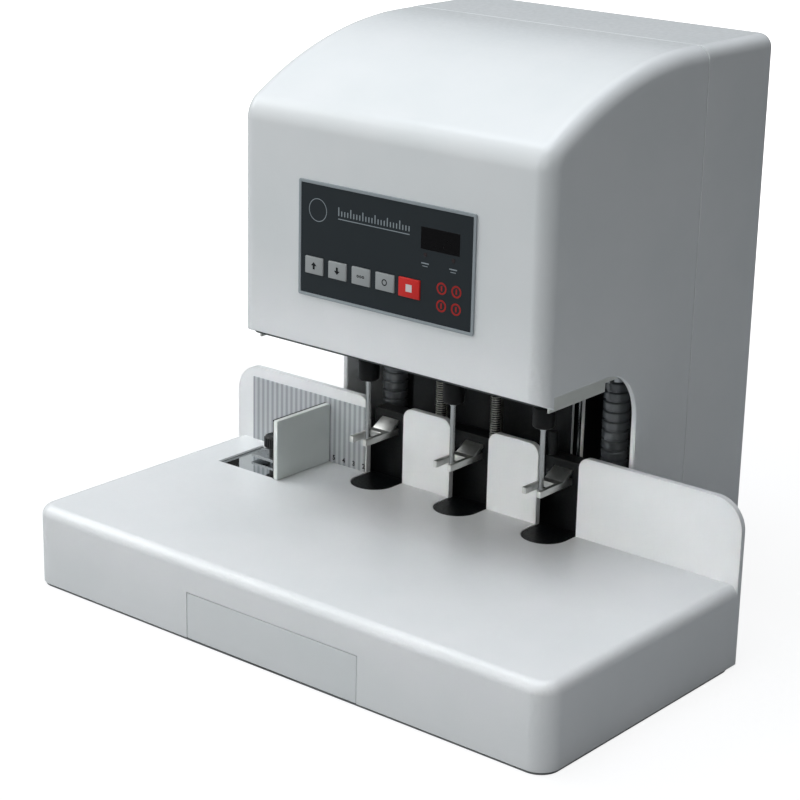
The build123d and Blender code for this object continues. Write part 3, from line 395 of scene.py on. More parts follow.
def block(bm: bmesh.types.BMesh, low: tuple[float, float, float],
          high: tuple[float, float, float], width: float = 0.0, segments: int = 2) -> None:
    """Add a box between two corners, with rounded edges.

    Args:
        bm: The mesh that gets the box.
        low: Its lowest corner, in millimetres.
        high: Its highest corner.
        width: Radius of its edges.
        segments: Faces across each rounded edge.
    """
    a, b = at(*low), at(*high)
    spot = Matrix.Translation((a + b) / 2) @ Matrix.Diagonal((*(b - a), 1.0))
    verts = bmesh.ops.create_cube(bm, size=1.0, matrix=spot)["verts"]
    if width:
        edges = list({e for v in verts for e in v.link_edges})
        rounded(bm, edges, width, segments)


def rounded(bm: bmesh.types.BMesh, edges: list[bmesh.types.BMEdge], width: float,
            segments: int = 2) -> None:
    """Round edges.

    Args:
        bm: The mesh.
        edges: The edges to round.
        width: The radius in millimetres.
        segments: Faces across the round.
    """
    bmesh.ops.bevel(bm, geom=edges, offset=width * MM, offset_type="OFFSET", segments=segments,
                    profile=0.5, affect="EDGES", material=-1, clamp_overlap=True)


def sheet(bm: bmesh.types.BMesh, corners: Iterable[tuple[float, float, float]],
          push: tuple[float, float, float]) -> None:
    """Draw one flat face and push it out into a solid.

    Args:
        bm: The mesh that gets the solid.
        corners: The face's corners in millimetres.
        push: How far it is pushed, in millimetres.
    """
    face = bm.faces.new([bm.verts.new(at(*c)) for c in corners])
    grown = bmesh.ops.extrude_face_region(bm, geom=[face])["geom"]
    moved = [g for g in grown if isinstance(g, bmesh.types.BMVert)]
    bmesh.ops.translate(bm, verts=moved, vec=Vector(push) * MM)
    faces = list({f for v in moved for f in v.link_faces} | {face})
    bmesh.ops.recalc_face_normals(bm, faces=faces)


def piece(bm: bmesh.types.BMesh, name: str, finish: Finish, body: str,
          stands_for: Iterable[str] = (), smooth: float = 35.0) -> bpy.types.Object:
    """Make an object of a finished mesh, dress it and put it on its body.

    Args:
        bm: The mesh, which is freed.
        name: The piece's name.
        finish: What it is made of.
        body: The CAD body that it rides on.
        stands_for: CAD nodes that it replaces.
        smooth: Edges sharper than this angle, in degrees, stay sharp.

    Returns:
        The new object.
    """
    mesh = bpy.data.meshes.new(name)
    bm.to_mesh(mesh)
    bm.free()
    mesh.shade_smooth()
    mesh.set_sharp_from_angle(angle=radians(smooth))
    made = bpy.data.objects.new(name, mesh)
    bpy.context.scene.collection.objects.link(made)
    mesh.materials.append(finish.material())
    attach(made, body)
    nodes = list(stands_for)
    if nodes:
        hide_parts(*nodes)
    LOG.info("%s rides on %s, %d faces", name, body, len(mesh.polygons))
    return made


def softened(node: str, finish: Finish, width: float,
             segments: int = 2) -> bpy.types.Object:
    """Copy a CAD node, merge its triangles and round its sharp edges.

    Args:
        node: The CAD node that the copy replaces.
        finish: What it is made of.
        width: Radius of the rounded edges in millimetres.
        segments: Faces across each rounded edge.

    Returns:
        The new object.
    """
    bm = bmesh.new()
    bm.from_mesh(frame["nodes"][node].data)
    bmesh.ops.remove_doubles(bm, verts=bm.verts, dist=2e-6)
    bmesh.ops.dissolve_limit(bm, angle_limit=radians(0.4), use_dissolve_boundaries=False,
                             verts=bm.verts, edges=bm.edges)
    edges = [e for e in bm.edges if len(e.link_faces) == 2
             and e.calc_face_angle(0.0) > radians(SHARP_EDGE)]
    rounded(bm, edges, width, segments)
    made = piece(bm, f"{node}_moulding", finish, BODY_OF[node], [node], smooth=30.0)
    level = made.modifiers.new("even_shading", "WEIGHTED_NORMAL")
    level.keep_sharp = True
    level.weight = 80
    return made


def two_tone(made: bpy.types.Object, finish: Finish,
             inside: Callable[[Vector, Vector], bool]) -> None:
    """Give some faces of a piece a second finish.

    Args:
        made: The piece.
        finish: The second finish.
        inside: Says of a face's middle and normal whether it gets that finish.
    """
    made.data.materials.append(finish.material())
    for face in made.data.polygons:
        if inside(face.center, face.normal):
            face.material_index = 1


def printed(text: str, place: tuple[float, float, float], height: float, finish: Finish,
            name: str, body: str, weight: float = 0.0) -> None:
    """Print a number or plain mark on a face that looks towards -Y.

    Args:
        text: The characters.
        place: Middle of the print, in millimetres.
        height: Height of a figure.
        finish: The ink.
        name: The piece's name.
        body: The CAD body that it rides on.
        weight: How far each stroke's edge is pushed outwards, in millimetres.
    """
    curve = bpy.data.curves.new(name + "_outline", "FONT")
    curve.body = text
    curve.size = height * 1.4 * MM
    curve.extrude = INK_DEPTH / 2 * MM
    curve.offset = weight * MM
    curve.align_x = "CENTER"
    curve.align_y = "CENTER"
    curve.resolution_u = 4
    shape = bpy.data.objects.new(name + "_outline", curve)
    bpy.context.scene.collection.objects.link(shape)
    bpy.context.view_layer.update()
    mesh = bpy.data.meshes.new_from_object(shape)
    bpy.data.objects.remove(shape)
    bm = bmesh.new()
    bm.from_mesh(mesh)
    bpy.data.meshes.remove(mesh)
    upright = Matrix.Translation(at(*place)) @ Matrix.Rotation(pi / 2, 4, "X")
    bmesh.ops.transform(bm, matrix=upright, verts=bm.verts)
    piece(bm, name, finish, body, smooth=20.0)


# --- sub-assemblies
@dataclass
class Mouldings:
    """The shells, the waste drawer, and the pan and sheet parts that show below the head.

    skirt_top is the height below which the pan keeps its pale ABS (its faces along X do too,
    and its dark grey elsewhere is painted shade), screen_low the height above which the bench
    is a screen whose near-white edges are a painted highlight, and facing how squarely a face
    must look along an axis to count as one of its ends.
    """

    edge: float = 0.9
    thin_edge: float = 0.5
    pan_edge: float = 0.4
    sheet_edge: float = 0.2
    skirt_top: float = 186.7
    screen_low: float = 95.0
    facing: float = 0.9

    def build(self) -> None:
        """Make the rounded copies and give some their second finish."""
        # The table's brighter white is painted light.
        softened("table_cover", TABLE_PAINTED_LIGHT, self.edge, 3)
        softened("front_shell", SHELL, self.edge, 3)
        softened("rear_shell", SHELL, self.thin_edge, 2)
        softened("chip_drawer", SHELL, self.thin_edge, 2)
        # The pan's dark grey is painted shade; its skirts and its faces along X keep the pale ABS.
        pan = softened("head_pan", PAN_PAINTED_SHADE, self.pan_edge, 2)
        two_tone(pan, SKIRT, lambda middle, normal: middle.z < self.skirt_top * MM
                 or abs(normal.x) > self.facing)
        for side in ("left", "right"):
            # The cheeks' near-black is painted shade.
            cheek = softened(f"cheek_{side}", SHADED_DARK_SHEET, self.sheet_edge, 1)
            # The cheeks' near-white front faces are a painted highlight.
            two_tone(cheek, EDGE_HIGHLIGHT_PAINT, lambda _, normal: normal.y < -self.facing)
        bench = softened("pad_bench", SHADED_DARK_SHEET, self.sheet_edge, 1)
        # The near-white side faces of the bench's screen are a painted highlight.
        two_tone(bench, EDGE_HIGHLIGHT_PAINT, lambda middle, normal: abs(normal.x) > self.facing
                 and middle.z > self.screen_low * MM)


@dataclass
class Drills:
    """Chucks and hollow drills."""

    places: tuple[tuple[str, float], ...] = (("left", -80.0), ("middle", 0.0), ("right", 80.0))
    line: float = 196.0
    tip: float = 95.0
    drill: float = 2.0
    bore: float = 1.4
    chuck: float = 8.0
    chuck_bottom: float = 144.0
    chuck_top: float = 190.0
    neck: float = 7.0
    neck_top: float = 225.7
    shaft: float = 6.0
    shaft_top: float = 308.0

    def drill_mesh(self, x: float) -> bmesh.types.BMesh:
        """Hollow drill with a bevelled edge and an open bore.

        Args:
            x: Place of the drill.

        Returns:
            The mesh.
        """
        bm = bmesh.new()
        outer, inner, low, high = self.drill, self.bore, self.tip, self.chuck_bottom + 20
        profile = [(inner, high), (inner, low), (inner + 0.12, low), (outer, low + 0.9),
                   (outer, self.chuck_bottom - 3), (outer + 0.5, self.chuck_bottom - 2),
                   (outer + 0.5, high), (inner, high)]
        turned(bm, profile, x, self.line, 32)
        return bm

    def chuck_mesh(self, x: float) -> bmesh.types.BMesh:
        """Chuck with a bevelled nose, a grip groove and a barrel over it.

        Args:
            x: Place of the spindle.

        Returns:
            The mesh.
        """
        bm = bmesh.new()
        r, low, top = self.chuck, self.chuck_bottom, self.chuck_top
        profile = [(3.4, low + 6), (3.4, low + 0.2), (3.8, low), (r - 1.6, low),
                   (r - 0.4, low + 0.9), (r, low + 1.9), (r, low + 15),
                   (r - 0.5, low + 15.5), (r - 0.5, low + 17),
                   (r, low + 17.5), (r, top - 1), (r - 1, top), (self.neck, top),
                   (self.neck, self.neck_top - 0.5), (self.neck - 0.5, self.neck_top),
                   (self.shaft, self.neck_top), (self.shaft, self.shaft_top - 0.4),
                   (self.shaft - 0.4, self.shaft_top), (0.0, self.shaft_top)]
        turned(bm, profile, x, self.line, 40)
        return bm

    def build(self) -> None:
        """Make the three drills and chucks."""
        for side, x in self.places:
            piece(self.drill_mesh(x), f"drill_{side}_tube", TOOL, f"spindle_{side}",
                  [f"drill_{side}"])
            piece(self.chuck_mesh(x), f"spindle_{side}_chuck", CHUCK, f"spindle_{side}",
                  [f"spindle_{side}"])


@dataclass
class Press:
    """Presser forks, their springs and the press beam."""

    forks: tuple[tuple[str, float], ...] = (("left", -80.0), ("middle", 0.0), ("right", 80.0))
    front: float = 184.5
    yoke: float = 205.5
    slope: float = 211.5
    back: float = 222.5
    half: float = 8.2
    gap: float = 4.75
    low: float = 95.8
    top: float = 100.8
    plate_top: float = 107.2
    springs: tuple[tuple[str, float], ...] = (("left", -34.75), ("right", 15.75))
    spring_line: float = 227.0
    spring_low: float = 113.0
    spring_high: float = 197.0
    spring_radius: float = 4.5
    wire: float = 0.5
    turns: int = 47
    around: int = 20
    lift: float = 34.0

    def fork_mesh(self, x: float) -> bmesh.types.BMesh:
        """Fork with two prongs, a yoke and a sloping plate.

        Args:
            x: Place of the drill between the prongs.

        Returns:
            The mesh.
        """
        bm = bmesh.new()
        h, g, f, y, b = self.half, self.gap, self.front, self.yoke, self.back
        plan = [(x - h, f), (x - g, f), (x - g, y), (x + g, y), (x + g, f), (x + h, f),
                (x + h, b), (x - h, b)]
        sheet(bm, [(px, py, self.low) for px, py in plan], (0, 0, self.top - self.low))
        rounded(bm, list(bm.edges), 0.5, 2)
        slope = bmesh.new()
        s = self.slope
        side = [(s, self.top - 0.4), (s, self.top), (b, self.plate_top), (b, self.plate_top - 2.5),
                (s + 3.5, self.top - 0.4)]
        sheet(slope, [(x - h, py, pz) for py, pz in side], (2 * h, 0, 0))
        rounded(slope, list(slope.edges), 0.25, 2)
        rest = bpy.data.meshes.new("slope")
        slope.to_mesh(rest)
        slope.free()
        bm.from_mesh(rest)
        bpy.data.meshes.remove(rest)
        return bm

    def spring_mesh(self, x: float) -> bmesh.types.BMesh:
        """Spring of one wire: a small ring of the wire's section, spun upwards.

        Args:
            x: Place of the spring's axis.

        Returns:
            The mesh.
        """
        bm = bmesh.new()
        rise = self.spring_high - self.spring_low - 2 * self.wire
        start = at(x + self.spring_radius, self.spring_line, self.spring_low + self.wire)
        spot = Matrix.Translation(start) @ Matrix.Rotation(pi / 2, 4, "X")
        ring = bmesh.ops.create_circle(bm, segments=8, radius=self.wire * MM, matrix=spot,
                                       cap_ends=False)["verts"]
        edges = list({e for v in ring for e in v.link_edges})
        steps = self.turns * self.around
        bmesh.ops.spin(bm, geom=ring + edges, cent=at(x, self.spring_line, self.spring_low),
                       axis=(0, 0, 1), dvec=(0, 0, rise * MM / steps),
                       angle=2 * pi * self.turns, steps=steps, use_duplicate=False)
        bmesh.ops.holes_fill(bm, edges=bm.edges, sides=0)
        bmesh.ops.recalc_face_normals(bm, faces=bm.faces)
        return bm

    def build(self) -> None:
        """Make the forks and the springs."""
        for side, x in self.forks:
            piece(self.fork_mesh(x), f"fork_{side}_plated", FORK, "press",
                  [f"fork_{side}"])
        for side, x in self.springs:
            made = piece(self.spring_mesh(x), f"press_spring_{side}_coil", WIRE, "carriage",
                         [f"press_spring_{side}"], smooth=60.0)
            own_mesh(made)
        # The press beam's near-black is painted shade.
        softened("press_beam", SHADED_DARK_SHEET, 0.6, 2)


@dataclass
class Hoses:
    """Ribbed chip hoses with their band clamps."""

    places: tuple[tuple[str, float], ...] = (("left", -101.5), ("right", 101.5))
    line: float = 254.0
    top: float = 179.0
    low: float = 70.0
    crest: float = 10.0
    root: float = 8.6
    bore: float = 7.4
    pitch: float = 7.3
    cuff: float = 8.5

    def hose_mesh(self, x: float) -> bmesh.types.BMesh:
        """Hose with broad flat ribs, rounded shoulders and narrow grooves.

        Args:
            x: Place of the hose's axis.

        Returns:
            The mesh.
        """
        count = int((self.top - self.low - 2 * self.cuff) / self.pitch)
        start = self.top - self.cuff - count * self.pitch
        profile = [(self.bore, self.low), (self.root, self.low), (self.root, start)]
        steps = ((0.06, 0.0), (0.13, 0.75), (0.20, 1.0), (0.80, 1.0), (0.87, 0.75), (0.94, 0.0))
        for n in range(count):
            foot = start + n * self.pitch
            for share, rise in steps:
                profile.append((self.root + (self.crest - self.root) * rise,
                                foot + share * self.pitch))
        profile += [(self.root, self.top - 0.4), (self.root - 0.4, self.top),
                    (self.bore, self.top), (self.bore, self.low)]
        bm = bmesh.new()
        turned(bm, profile, x, self.line, 48)
        return bm

    def build(self) -> None:
        """Make the hoses and their clamps."""
        for side, x in self.places:
            piece(self.hose_mesh(x), f"hose_{side}_ribbed", HOSE, "housing",
                  [f"hose_{side}"], smooth=28.0)
        softened("hose_clamps", ZINC, 0.25, 2)


@dataclass
class SideGuide:
    """The stop for the paper's side, its backing, slide plate and clamp knob."""

    knob_x: float = -169.0
    knob_y: float = 190.0
    knob_low: float = 71.0
    knob_high: float = 81.0
    knob_radius: float = 8.0
    neck: float = 4.0
    neck_low: float = 63.3
    ribs: int = 24
    rib: float = 0.6
    rib_length: float = 7.4

    def knob_mesh(self) -> bmesh.types.BMesh:
        """Knob with a ribbed rim, a dished top and a neck.

        Returns:
            The mesh.
        """
        bm = bmesh.new()
        r, low, high = self.knob_radius, self.knob_low, self.knob_high
        profile = [(0.0, self.neck_low), (self.neck, self.neck_low), (self.neck, low),
                   (r - 1.2, low), (r - self.rib, low + 0.6), (r - self.rib, high - 1.4),
                   (r - 1.4, high - 0.3), (r - 2.4, high), (r - 3.2, high - 0.5),
                   (0.0, high - 0.9)]
        turned(bm, profile, self.knob_x, self.knob_y, 48)
        for n in range(self.ribs):
            turn = 2 * pi * n / self.ribs
            spot = Matrix.Translation(at(self.knob_x, self.knob_y, (low + high) / 2 - 0.2))
            spot = spot @ Matrix.Rotation(turn, 4, "Z") @ Matrix.Translation(
                Vector((r - self.rib, 0, 0)) * MM)
            bmesh.ops.create_cone(bm, cap_ends=True, segments=8, radius1=self.rib * MM,
                                  radius2=self.rib * MM, depth=self.rib_length * MM,
                                  matrix=spot)
        return bm

    def build(self) -> None:
        """Make the guide's pieces."""
        softened("side_guide", ACRYLIC, 0.7, 3)
        backing = softened("guide_backing", ZINC, 0.3, 2)
        two_tone(backing, CHUCK, lambda middle, normal: abs(normal.x) < 0.5
                 and middle.z > self.knob_high * MM)
        softened("guide_slide", MIRROR, 0.2, 2)
        piece(self.knob_mesh(), "clamp_knob_ribbed", NYLON, "clamp_knob",
              ["clamp_knob"])


@dataclass
class Scale:
    """Striped plate on the fence with plain numbers."""

    first: int = 2
    last: int = 12
    drill_x: float = -80.0
    face_y: float = 215.15
    height: float = 3.8
    level: float = 65.1

    def build(self) -> None:
        """Dress the plate and print its numbers."""
        plate = frame["nodes"]["scale_plate"]
        dress(plate, StripedPlate())
        for number in range(self.first, self.last + 1):
            x = self.drill_x - 10.0 * number
            printed(str(number), (x, self.face_y, self.level), self.height, DARK_INK,
                    f"scale_number_{number}", "housing", weight=0.2)


@dataclass
class Panel:
    """Bezel, printed film, keys, display and lamps."""

    face_y: float = 115.0
    key_z: float = 249.2
    first_x: float = -62.6
    pitch: float = 21.3
    key_size: tuple[float, float] = (16.4, 12.2)
    stop_size: tuple[float, float] = (18.4, 13.4)
    names: tuple[str, ...] = ("raise", "lower", "drill", "reset", "stop")
    lamps: tuple[float, ...] = (35.5, 59.3)
    mark_size: float = 2.6
    ticks: int = 24
    tick_first: float = -41.0
    tick_pitch: float = 2.7
    tick_low: float = 288.0
    rings: tuple[tuple[float, float], ...] = (
        (50.0, 254.0), (50.0, 242.0), (62.5, 254.0), (62.5, 242.0))

    def key_mesh(self, x: float, size: tuple[float, float]) -> bmesh.types.BMesh:
        """Key cap with a soft rim.

        Args:
            x: Middle of the key.
            size: Its width and height.

        Returns:
            The mesh.
        """
        bm = bmesh.new()
        w, h = size[0] / 2, size[1] / 2
        z = self.key_z
        block(bm, (x - w, self.face_y - 0.9, z - h), (x + w, 116.3, z + h), 0.55, 3)
        block(bm, (x - w - 1, 116.3, z - h - 1), (x + w + 1, 117.3, z + h + 1), 0.2, 1)
        return bm

    def mark(self, name: str, x: float, finish: Finish, size: float) -> None:
        """Print a plain pictogram on a key.

        Args:
            name: The key's name.
            x: Middle of the key.
            finish: The ink.
            size: Half the pictogram's size.
        """
        bm = bmesh.new()
        y, z, s = self.face_y - 0.95, self.key_z, size
        stem = s * 0.35
        push = (0.0, -0.05, 0.0)
        if name == "raise":
            sheet(bm, [(x - s, y, z), (x + s, y, z), (x, y, z + s)], push)
            sheet(bm, [(x - stem, y, z - s), (x + stem, y, z - s), (x + stem, y, z),
                       (x - stem, y, z)], push)
        elif name == "lower":
            sheet(bm, [(x - s, y, z), (x, y, z - s), (x + s, y, z)], push)
            sheet(bm, [(x - stem, y, z), (x + stem, y, z), (x + stem, y, z + s),
                       (x - stem, y, z + s)], push)
        elif name == "drill":
            for step in (-1, 0, 1):
                self.ring(bm, x + step * s * 0.9, y, z, s * 0.38, s * 0.2)
        elif name == "reset":
            self.ring(bm, x, y, z, s * 0.9, s * 0.6)
        else:
            sheet(bm, [(x - s, y, z - s), (x + s, y, z - s), (x + s, y, z + s),
                       (x - s, y, z + s)], push)
        piece(bm, f"{name}_key_mark", finish, f"{name}_key", smooth=20.0)

    def ring(self, bm: bmesh.types.BMesh, x: float, y: float, z: float, outer: float,
             inner: float) -> None:
        """Add a flat ring that looks towards -Y.

        Args:
            bm: The mesh.
            x: Middle of the ring.
            y: Its face.
            z: Middle of the ring.
            outer: Its outer radius.
            inner: Its inner radius.
        """
        verts = [bm.verts.new(at(x + r, y - d, z)) for r, d in
                 ((inner, 0.0), (outer, 0.0), (outer, 0.05), (inner, 0.05))]
        edges = [bm.edges.new((verts[i], verts[(i + 1) % 4])) for i in range(4)]
        bmesh.ops.spin(bm, geom=verts + edges, cent=at(x, y, z), axis=(0, 1, 0), angle=2 * pi,
                       steps=28, use_merge=True, use_duplicate=False)
        bmesh.ops.remove_doubles(bm, verts=bm.verts, dist=1e-8)
        bmesh.ops.recalc_face_normals(bm, faces=bm.faces)

    def print_film(self) -> None:
        """Print the plain marks on the film: a ticked line, a ring and four red rings."""
        y = self.face_y
        pale = bmesh.new()
        out, inward = y - INK_DEPTH, y + 0.02
        for n in range(self.ticks):
            x = self.tick_first + n * self.tick_pitch
            top = self.tick_low + (6.0 if n % 4 == 0 else 3.6)
            block(pale, (x - 0.45, out, self.tick_low), (x + 0.45, inward, top))
        block(pale, (-41.5, out, 285.6), (21.6, inward, 286.2))
        for x in self.lamps:
            block(pale, (x - 3.2, out, 268.2), (x + 3.2, inward, 269.0))
            block(pale, (x - 2.2, out, 266.4), (x + 2.2, inward, 266.9))
        self.ring(pale, -60.0, y, 289.0, 8.2, 7.7)
        piece(pale, "panel_pale_marks", PALE_INK, "housing", smooth=20.0)
        red = bmesh.new()
        for x, z in self.rings:
            self.ring(red, x, y, z, 4.2, 3.0)
            block(red, (x - 0.6, out, z - 1.8), (x + 0.6, inward, z + 1.8))
        piece(red, "panel_red_marks", RED_INK, "housing", smooth=20.0)

    def build(self) -> None:
        """Make the panel's pieces."""
        softened("panel_bezel", BEZEL, 0.3, 2)
        dress(frame["nodes"]["panel_face"], FILM)
        for n, name in enumerate(self.names):
            stop = name == "stop"
            size = self.stop_size if stop else self.key_size
            x = self.first_x + n * self.pitch
            piece(self.key_mesh(x, size), f"{name}_key_cap", RED_KEY if stop else KEY,
                  f"{name}_key", [f"{name}_key"])
            self.mark(name, x, WHITE_INK if stop else DARK_INK, self.mark_size)
        softened("display", WINDOW, 0.15, 1)
        softened("signal_lamps", LAMP, 0.3, 2)
        self.print_film()


@dataclass
class PowerEntry:
    """Inlet with its pins and the rocker switch."""

    x: float = 84.0
    socket_z: float = 50.0
    pin: tuple[float, float] = (2.0, 4.0)
    pin_span: tuple[float, float] = (365.4, 376.0)
    pins: tuple[tuple[float, float], ...] = ((-5.5, -1.5), (5.5, -1.5), (0.0, 2.2))

    def build(self) -> None:
        """Make the inlet's pieces."""
        softened("power_inlet", NYLON, 0.6, 2)
        softened("power_rocker", NYLON, 0.4, 2)
        bm = bmesh.new()
        half_width, half_height = self.pin[0] / 2, self.pin[1] / 2
        near, far = self.pin_span
        for dx, dz in self.pins:
            x, z = self.x + dx, self.socket_z + dz
            block(bm, (x - half_width, near, z - half_height),
                  (x + half_width, far, z + half_height), 0.4, 2)
        piece(bm, "inlet_pins", ZINC, "housing")


# What the other CAD nodes are made of. They keep their solids' own shapes.
PLAIN_NODES: dict[str, Finish] = {
    "base_plate": SHADED_DARK_SHEET, "rubber_feet": RUBBER, "cutting_pads": PAD,
    "panel_board": BOARD, "bulkhead": SHADED_DARK_SHEET,
    "top_plate": FRAME_SHEET,
    "guide_columns": ROD, "chip_chutes": NYLON, "carriage": CASTING,
    "carriage_bushes": BRONZE, "spindle_bearings": BEARING, "drive_belt": BELT,
    "spindle_motor": MOTOR, "motor_pulley": PULLEY, "feed_motor": MOTOR, "feed_screw": ROD,
    "pulley_left": PULLEY, "pulley_middle": PULLEY, "pulley_right": PULLEY,
    "power_supply": BOARD, "case_screws": ZINC,
}


def dress(node: bpy.types.Object, finish: Finish | StripedPlate) -> None:
    """Give a CAD node its material.

    Args:
        node: The node's object.
        finish: What it is made of.
    """
    material = finish.material()
    if not node.material_slots:
        node.data.materials.append(material)
    for part in node.material_slots:
        part.material = material


# --- studio
@dataclass
class Lamp:
    """One soft studio lamp."""

    name: str
    place: tuple[float, float, float]
    target: tuple[float, float, float]
    size: tuple[float, float]
    power: float
    colour: str = "#FFFFFF"
    spread: float = 180.0

    def build(self) -> None:
        """Hang the lamp."""
        data = bpy.data.lights.new(self.name, "AREA")
        data.shape = "RECTANGLE"
        data.size, data.size_y = self.size
        data.energy = self.power
        data.spread = radians(self.spread)
        data.color = linear(self.colour)[:3]
        lamp = bpy.data.objects.new(self.name, data)
        lamp.location = self.place
        aim = Vector(self.target) - Vector(self.place)
        lamp.rotation_euler = aim.to_track_quat("-Z", "Y").to_euler()
        bpy.context.scene.collection.objects.link(lamp)


@dataclass
class Studio:
    """Camera, lamps, backdrop and floor.

    room is the even light of the room. room_low and room_high are a height in the sky and how
    bright the room's reflection is there. near and far are the distances between which the
    floor's shadow fades out, and footprints holds half a width, a front, a back and a corner
    radius for each area of floor that the machine covers.
    """

    eye: tuple[float, float, float] = (0.927736, -1.189388, 0.640287)
    yaw: float = 39.29
    pitch: float = 18.14
    roll: float = 1.27
    lens: float = 99.708
    room_low: tuple[float, float] = (0.36, 0.03)
    room_high: tuple[float, float] = (0.75, 0.62)
    floor_share: float = 0.6
    floor_grey: str = "#B4B6B8"
    room: float = 0.045
    floor_glow: float = 1.45
    near: float = 0.42
    far: float = 1.3
    footprints: tuple[tuple[float, float, float, float], ...] = (
        (0.2303, -0.1896, 0.0295, 0.014), (0.1335, 0.0, 0.1888, 0.006))
    lamps: tuple[Lamp, ...] = field(default_factory=lambda: (
        Lamp("sky_softbox", (-0.2, 0.1, 2.4), (0.0, 0.0, 0.3), (2.6, 2.2), 27.0, "#F4F9FF"),
        Lamp("table_softbox", (-0.3, -0.45, 2.4), (0.0, -0.05, 0.1), (2.0, 1.6), 18.5, "#F4F9FF"),
        Lamp("left_softbox", (-2.2, -0.7, 1.6), (0.0, 0.0, 0.2), (1.6, 1.4), 22.0, "#FAFCFC"),
        Lamp("front_softbox", (-1.5, -2.0, 0.9), (0.0, 0.0, 0.25), (1.8, 1.6), 8.5, "#FAFCFC"),
        Lamp("fill_softbox", (0.9, -2.3, 1.3), (0.0, 0.0, 0.2), (1.6, 1.4), 11.0, "#FCFDFC"),
        Lamp("fence_strip", (0.1, -1.9, 0.5), (0.1, 0.02, 0.1), (0.7, 0.06), 0.09, "#FCFDFC", 8.0),
    ))

    def camera(self) -> None:
        """Set up the camera that took the photograph."""
        yaw, pitch, roll = radians(self.yaw), radians(self.pitch), radians(self.roll)
        ahead = Vector((-sin(yaw) * cos(pitch), cos(yaw) * cos(pitch), -sin(pitch)))
        right = Vector((cos(yaw), sin(yaw), 0.0))
        up = right.cross(ahead)
        rolled = cos(roll) * right + sin(roll) * up
        upright = cos(roll) * up - sin(roll) * right
        data = bpy.data.cameras.new("photo_camera")
        data.lens = self.lens
        data.sensor_width = 36.0
        data.clip_start, data.clip_end = 0.05, 50.0
        eye = bpy.data.objects.new("photo_camera", data)
        turn = Matrix((rolled, upright, -ahead)).transposed().to_4x4()
        eye.matrix_world = Matrix.Translation(self.eye) @ turn
        bpy.context.scene.collection.objects.link(eye)
        bpy.context.scene.camera = eye

    def world(self) -> None:
        """White behind the object, a graded room in its reflections, soft light on it."""
        world = bpy.data.worlds.new("studio_world")
        bpy.context.scene.world = world
        world.use_nodes = True
        tree = world.node_tree
        tree.nodes.clear()
        rays = add(tree, "ShaderNodeLightPath")
        way = add(tree, "ShaderNodeTexCoord").outputs["Generated"]
        parts = add(tree, "ShaderNodeSeparateXYZ", {0: way})
        (low, dim), (high, bright) = self.room_low, self.room_high
        rise = add(tree, "ShaderNodeMapRange", {"Value": parts.outputs["Z"], "From Min": low,
                   "From Max": high, "To Min": dim, "To Max": bright})
        seen = add(tree, "ShaderNodeMath", {0: rays.outputs["Is Glossy Ray"],
                   1: rays.outputs["Is Transmission Ray"]}, operation="MAXIMUM")
        soft = add(tree, "ShaderNodeMix", {"Factor": seen.outputs[0], 2: self.room,
                   3: rise.outputs[0]}, data_type="FLOAT")
        power = add(tree, "ShaderNodeMix", {"Factor": rays.outputs["Is Camera Ray"],
                    2: soft.outputs[0], 3: 1.0}, data_type="FLOAT")
        back = add(tree, "ShaderNodeBackground", {"Color": linear("#FFFFFF"),
                   "Strength": power.outputs[0]})
        add(tree, "ShaderNodeOutputWorld", {"Surface": back.outputs[0]})

    def below(self, tree: bpy.types.NodeTree, place: bpy.types.NodeSocket,
              ) -> bpy.types.NodeSocket:
        """Find the floor under the machine, where its glow is left out: a painted shadow that
        darkens the gap below its rim.

        Args:
            tree: The floor's node tree.
            place: Object coordinates of the floor.

        Returns:
            The socket that holds 0 under the machine and 1 beside it.
        """
        result = None
        for half, front, back, corner in self.footprints:
            middle = (0.0, (front + back) / 2, 0.0)
            core = (half - corner, (back - front) / 2 - corner, 1.0)
            step = add(tree, "ShaderNodeVectorMath", {0: place, 1: middle}, operation="SUBTRACT")
            for operation, value in (("ABSOLUTE", None), ("SUBTRACT", core),
                                     ("MAXIMUM", (0.0, 0.0, 0.0)), ("LENGTH", None)):
                inputs = {0: step.outputs[0]} if value is None else {0: step.outputs[0], 1: value}
                step = add(tree, "ShaderNodeVectorMath", inputs, operation=operation)
            outside = add(tree, "ShaderNodeMath", {0: step.outputs["Value"], 1: corner},
                          operation="GREATER_THAN").outputs[0]
            result = outside if result is None else add(
                tree, "ShaderNodeMath", {0: result, 1: outside}, operation="MULTIPLY").outputs[0]
        return result

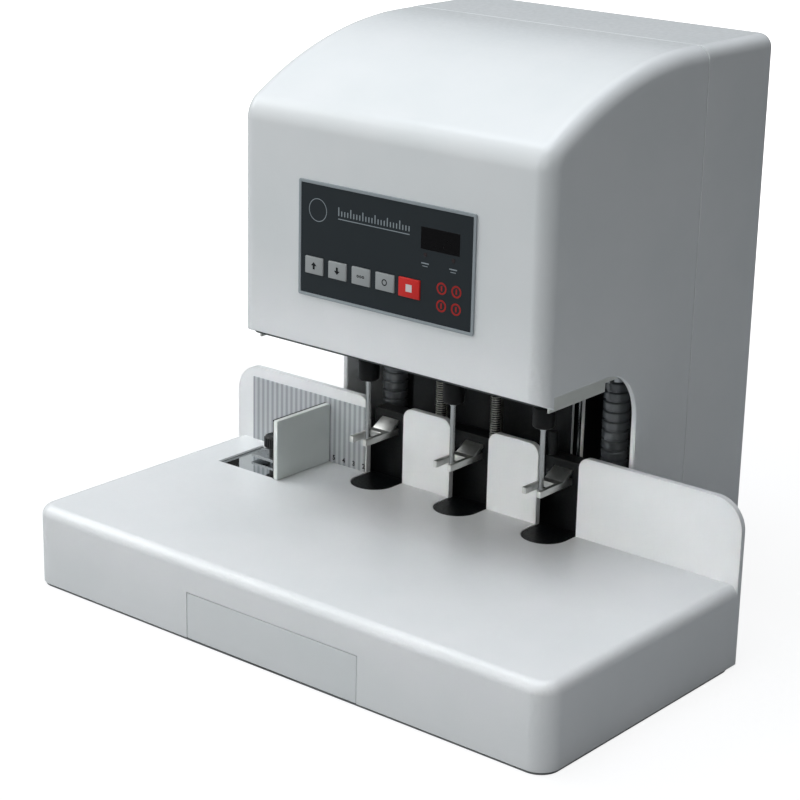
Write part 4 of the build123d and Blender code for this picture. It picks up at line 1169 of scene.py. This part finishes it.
    def floor(self) -> None:
        """Lay the pale floor, which keeps the object's shadow."""
        bm = bmesh.new()
        bmesh.ops.create_grid(bm, x_segments=8, y_segments=8, size=6.0)
        mesh = bpy.data.meshes.new("studio_floor")
        bm.to_mesh(mesh)
        bm.free()
        floor = bpy.data.objects.new("studio_floor", mesh)
        bpy.context.scene.collection.objects.link(floor)
        made = bpy.data.materials.new("pale_studio_paper")
        made.use_nodes = True
        tree = made.node_tree
        tree.nodes.clear()
        rays = add(tree, "ShaderNodeLightPath")
        paper = add(tree, "ShaderNodeBsdfDiffuse", {"Color": linear(self.floor_grey)})
        glow = add(tree, "ShaderNodeEmission", {"Color": linear("#FFFFFF"),
                   "Strength": self.floor_glow})
        place = add(tree, "ShaderNodeTexCoord").outputs["Object"]
        away = add(tree, "ShaderNodeVectorMath", {0: place}, operation="LENGTH")
        fade = add(tree, "ShaderNodeMapRange", {"Value": away.outputs["Value"],
                   "From Min": self.near, "From Max": self.far, "To Min": self.floor_share,
                   "To Max": 1.0}, interpolation_type="SMOOTHSTEP")
        # Under the machine the floor's glow is left out: painted shadow for the gap below the rim.
        shade = self.below(tree, place)
        open_floor = add(tree, "ShaderNodeMath", {0: fade.outputs[0], 1: shade},
                         operation="MULTIPLY")
        share = add(tree, "ShaderNodeMath", {0: rays.outputs["Is Camera Ray"],
                    1: open_floor.outputs[0]}, operation="MULTIPLY")
        both = add(tree, "ShaderNodeMixShader", {0: share.outputs[0], 1: paper.outputs[0],
                   2: glow.outputs[0]})
        add(tree, "ShaderNodeOutputMaterial", {"Surface": both.outputs[0]})
        mesh.materials.append(made)

    def build(self) -> None:
        """Set up the whole studio."""
        self.camera()
        self.world()
        self.floor()
        for lamp in self.lamps:
            lamp.build()
        bpy.context.scene.view_settings.view_transform = "Standard"


def main() -> None:
    """Build the studio and every sub-assembly, in order."""
    logging.basicConfig(level=logging.INFO, format="%(name)s: %(message)s")
    Studio().build()
    for node, finish in PLAIN_NODES.items():
        dress(frame["nodes"][node], finish)
    for assembly in (Mouldings(), Panel(), SideGuide(), Scale(), Drills(), Press(), Hoses(),
                     PowerEntry()):
        assembly.build()
        LOG.info("%s done", type(assembly).__name__)


if __name__ == "__main__":
    main()
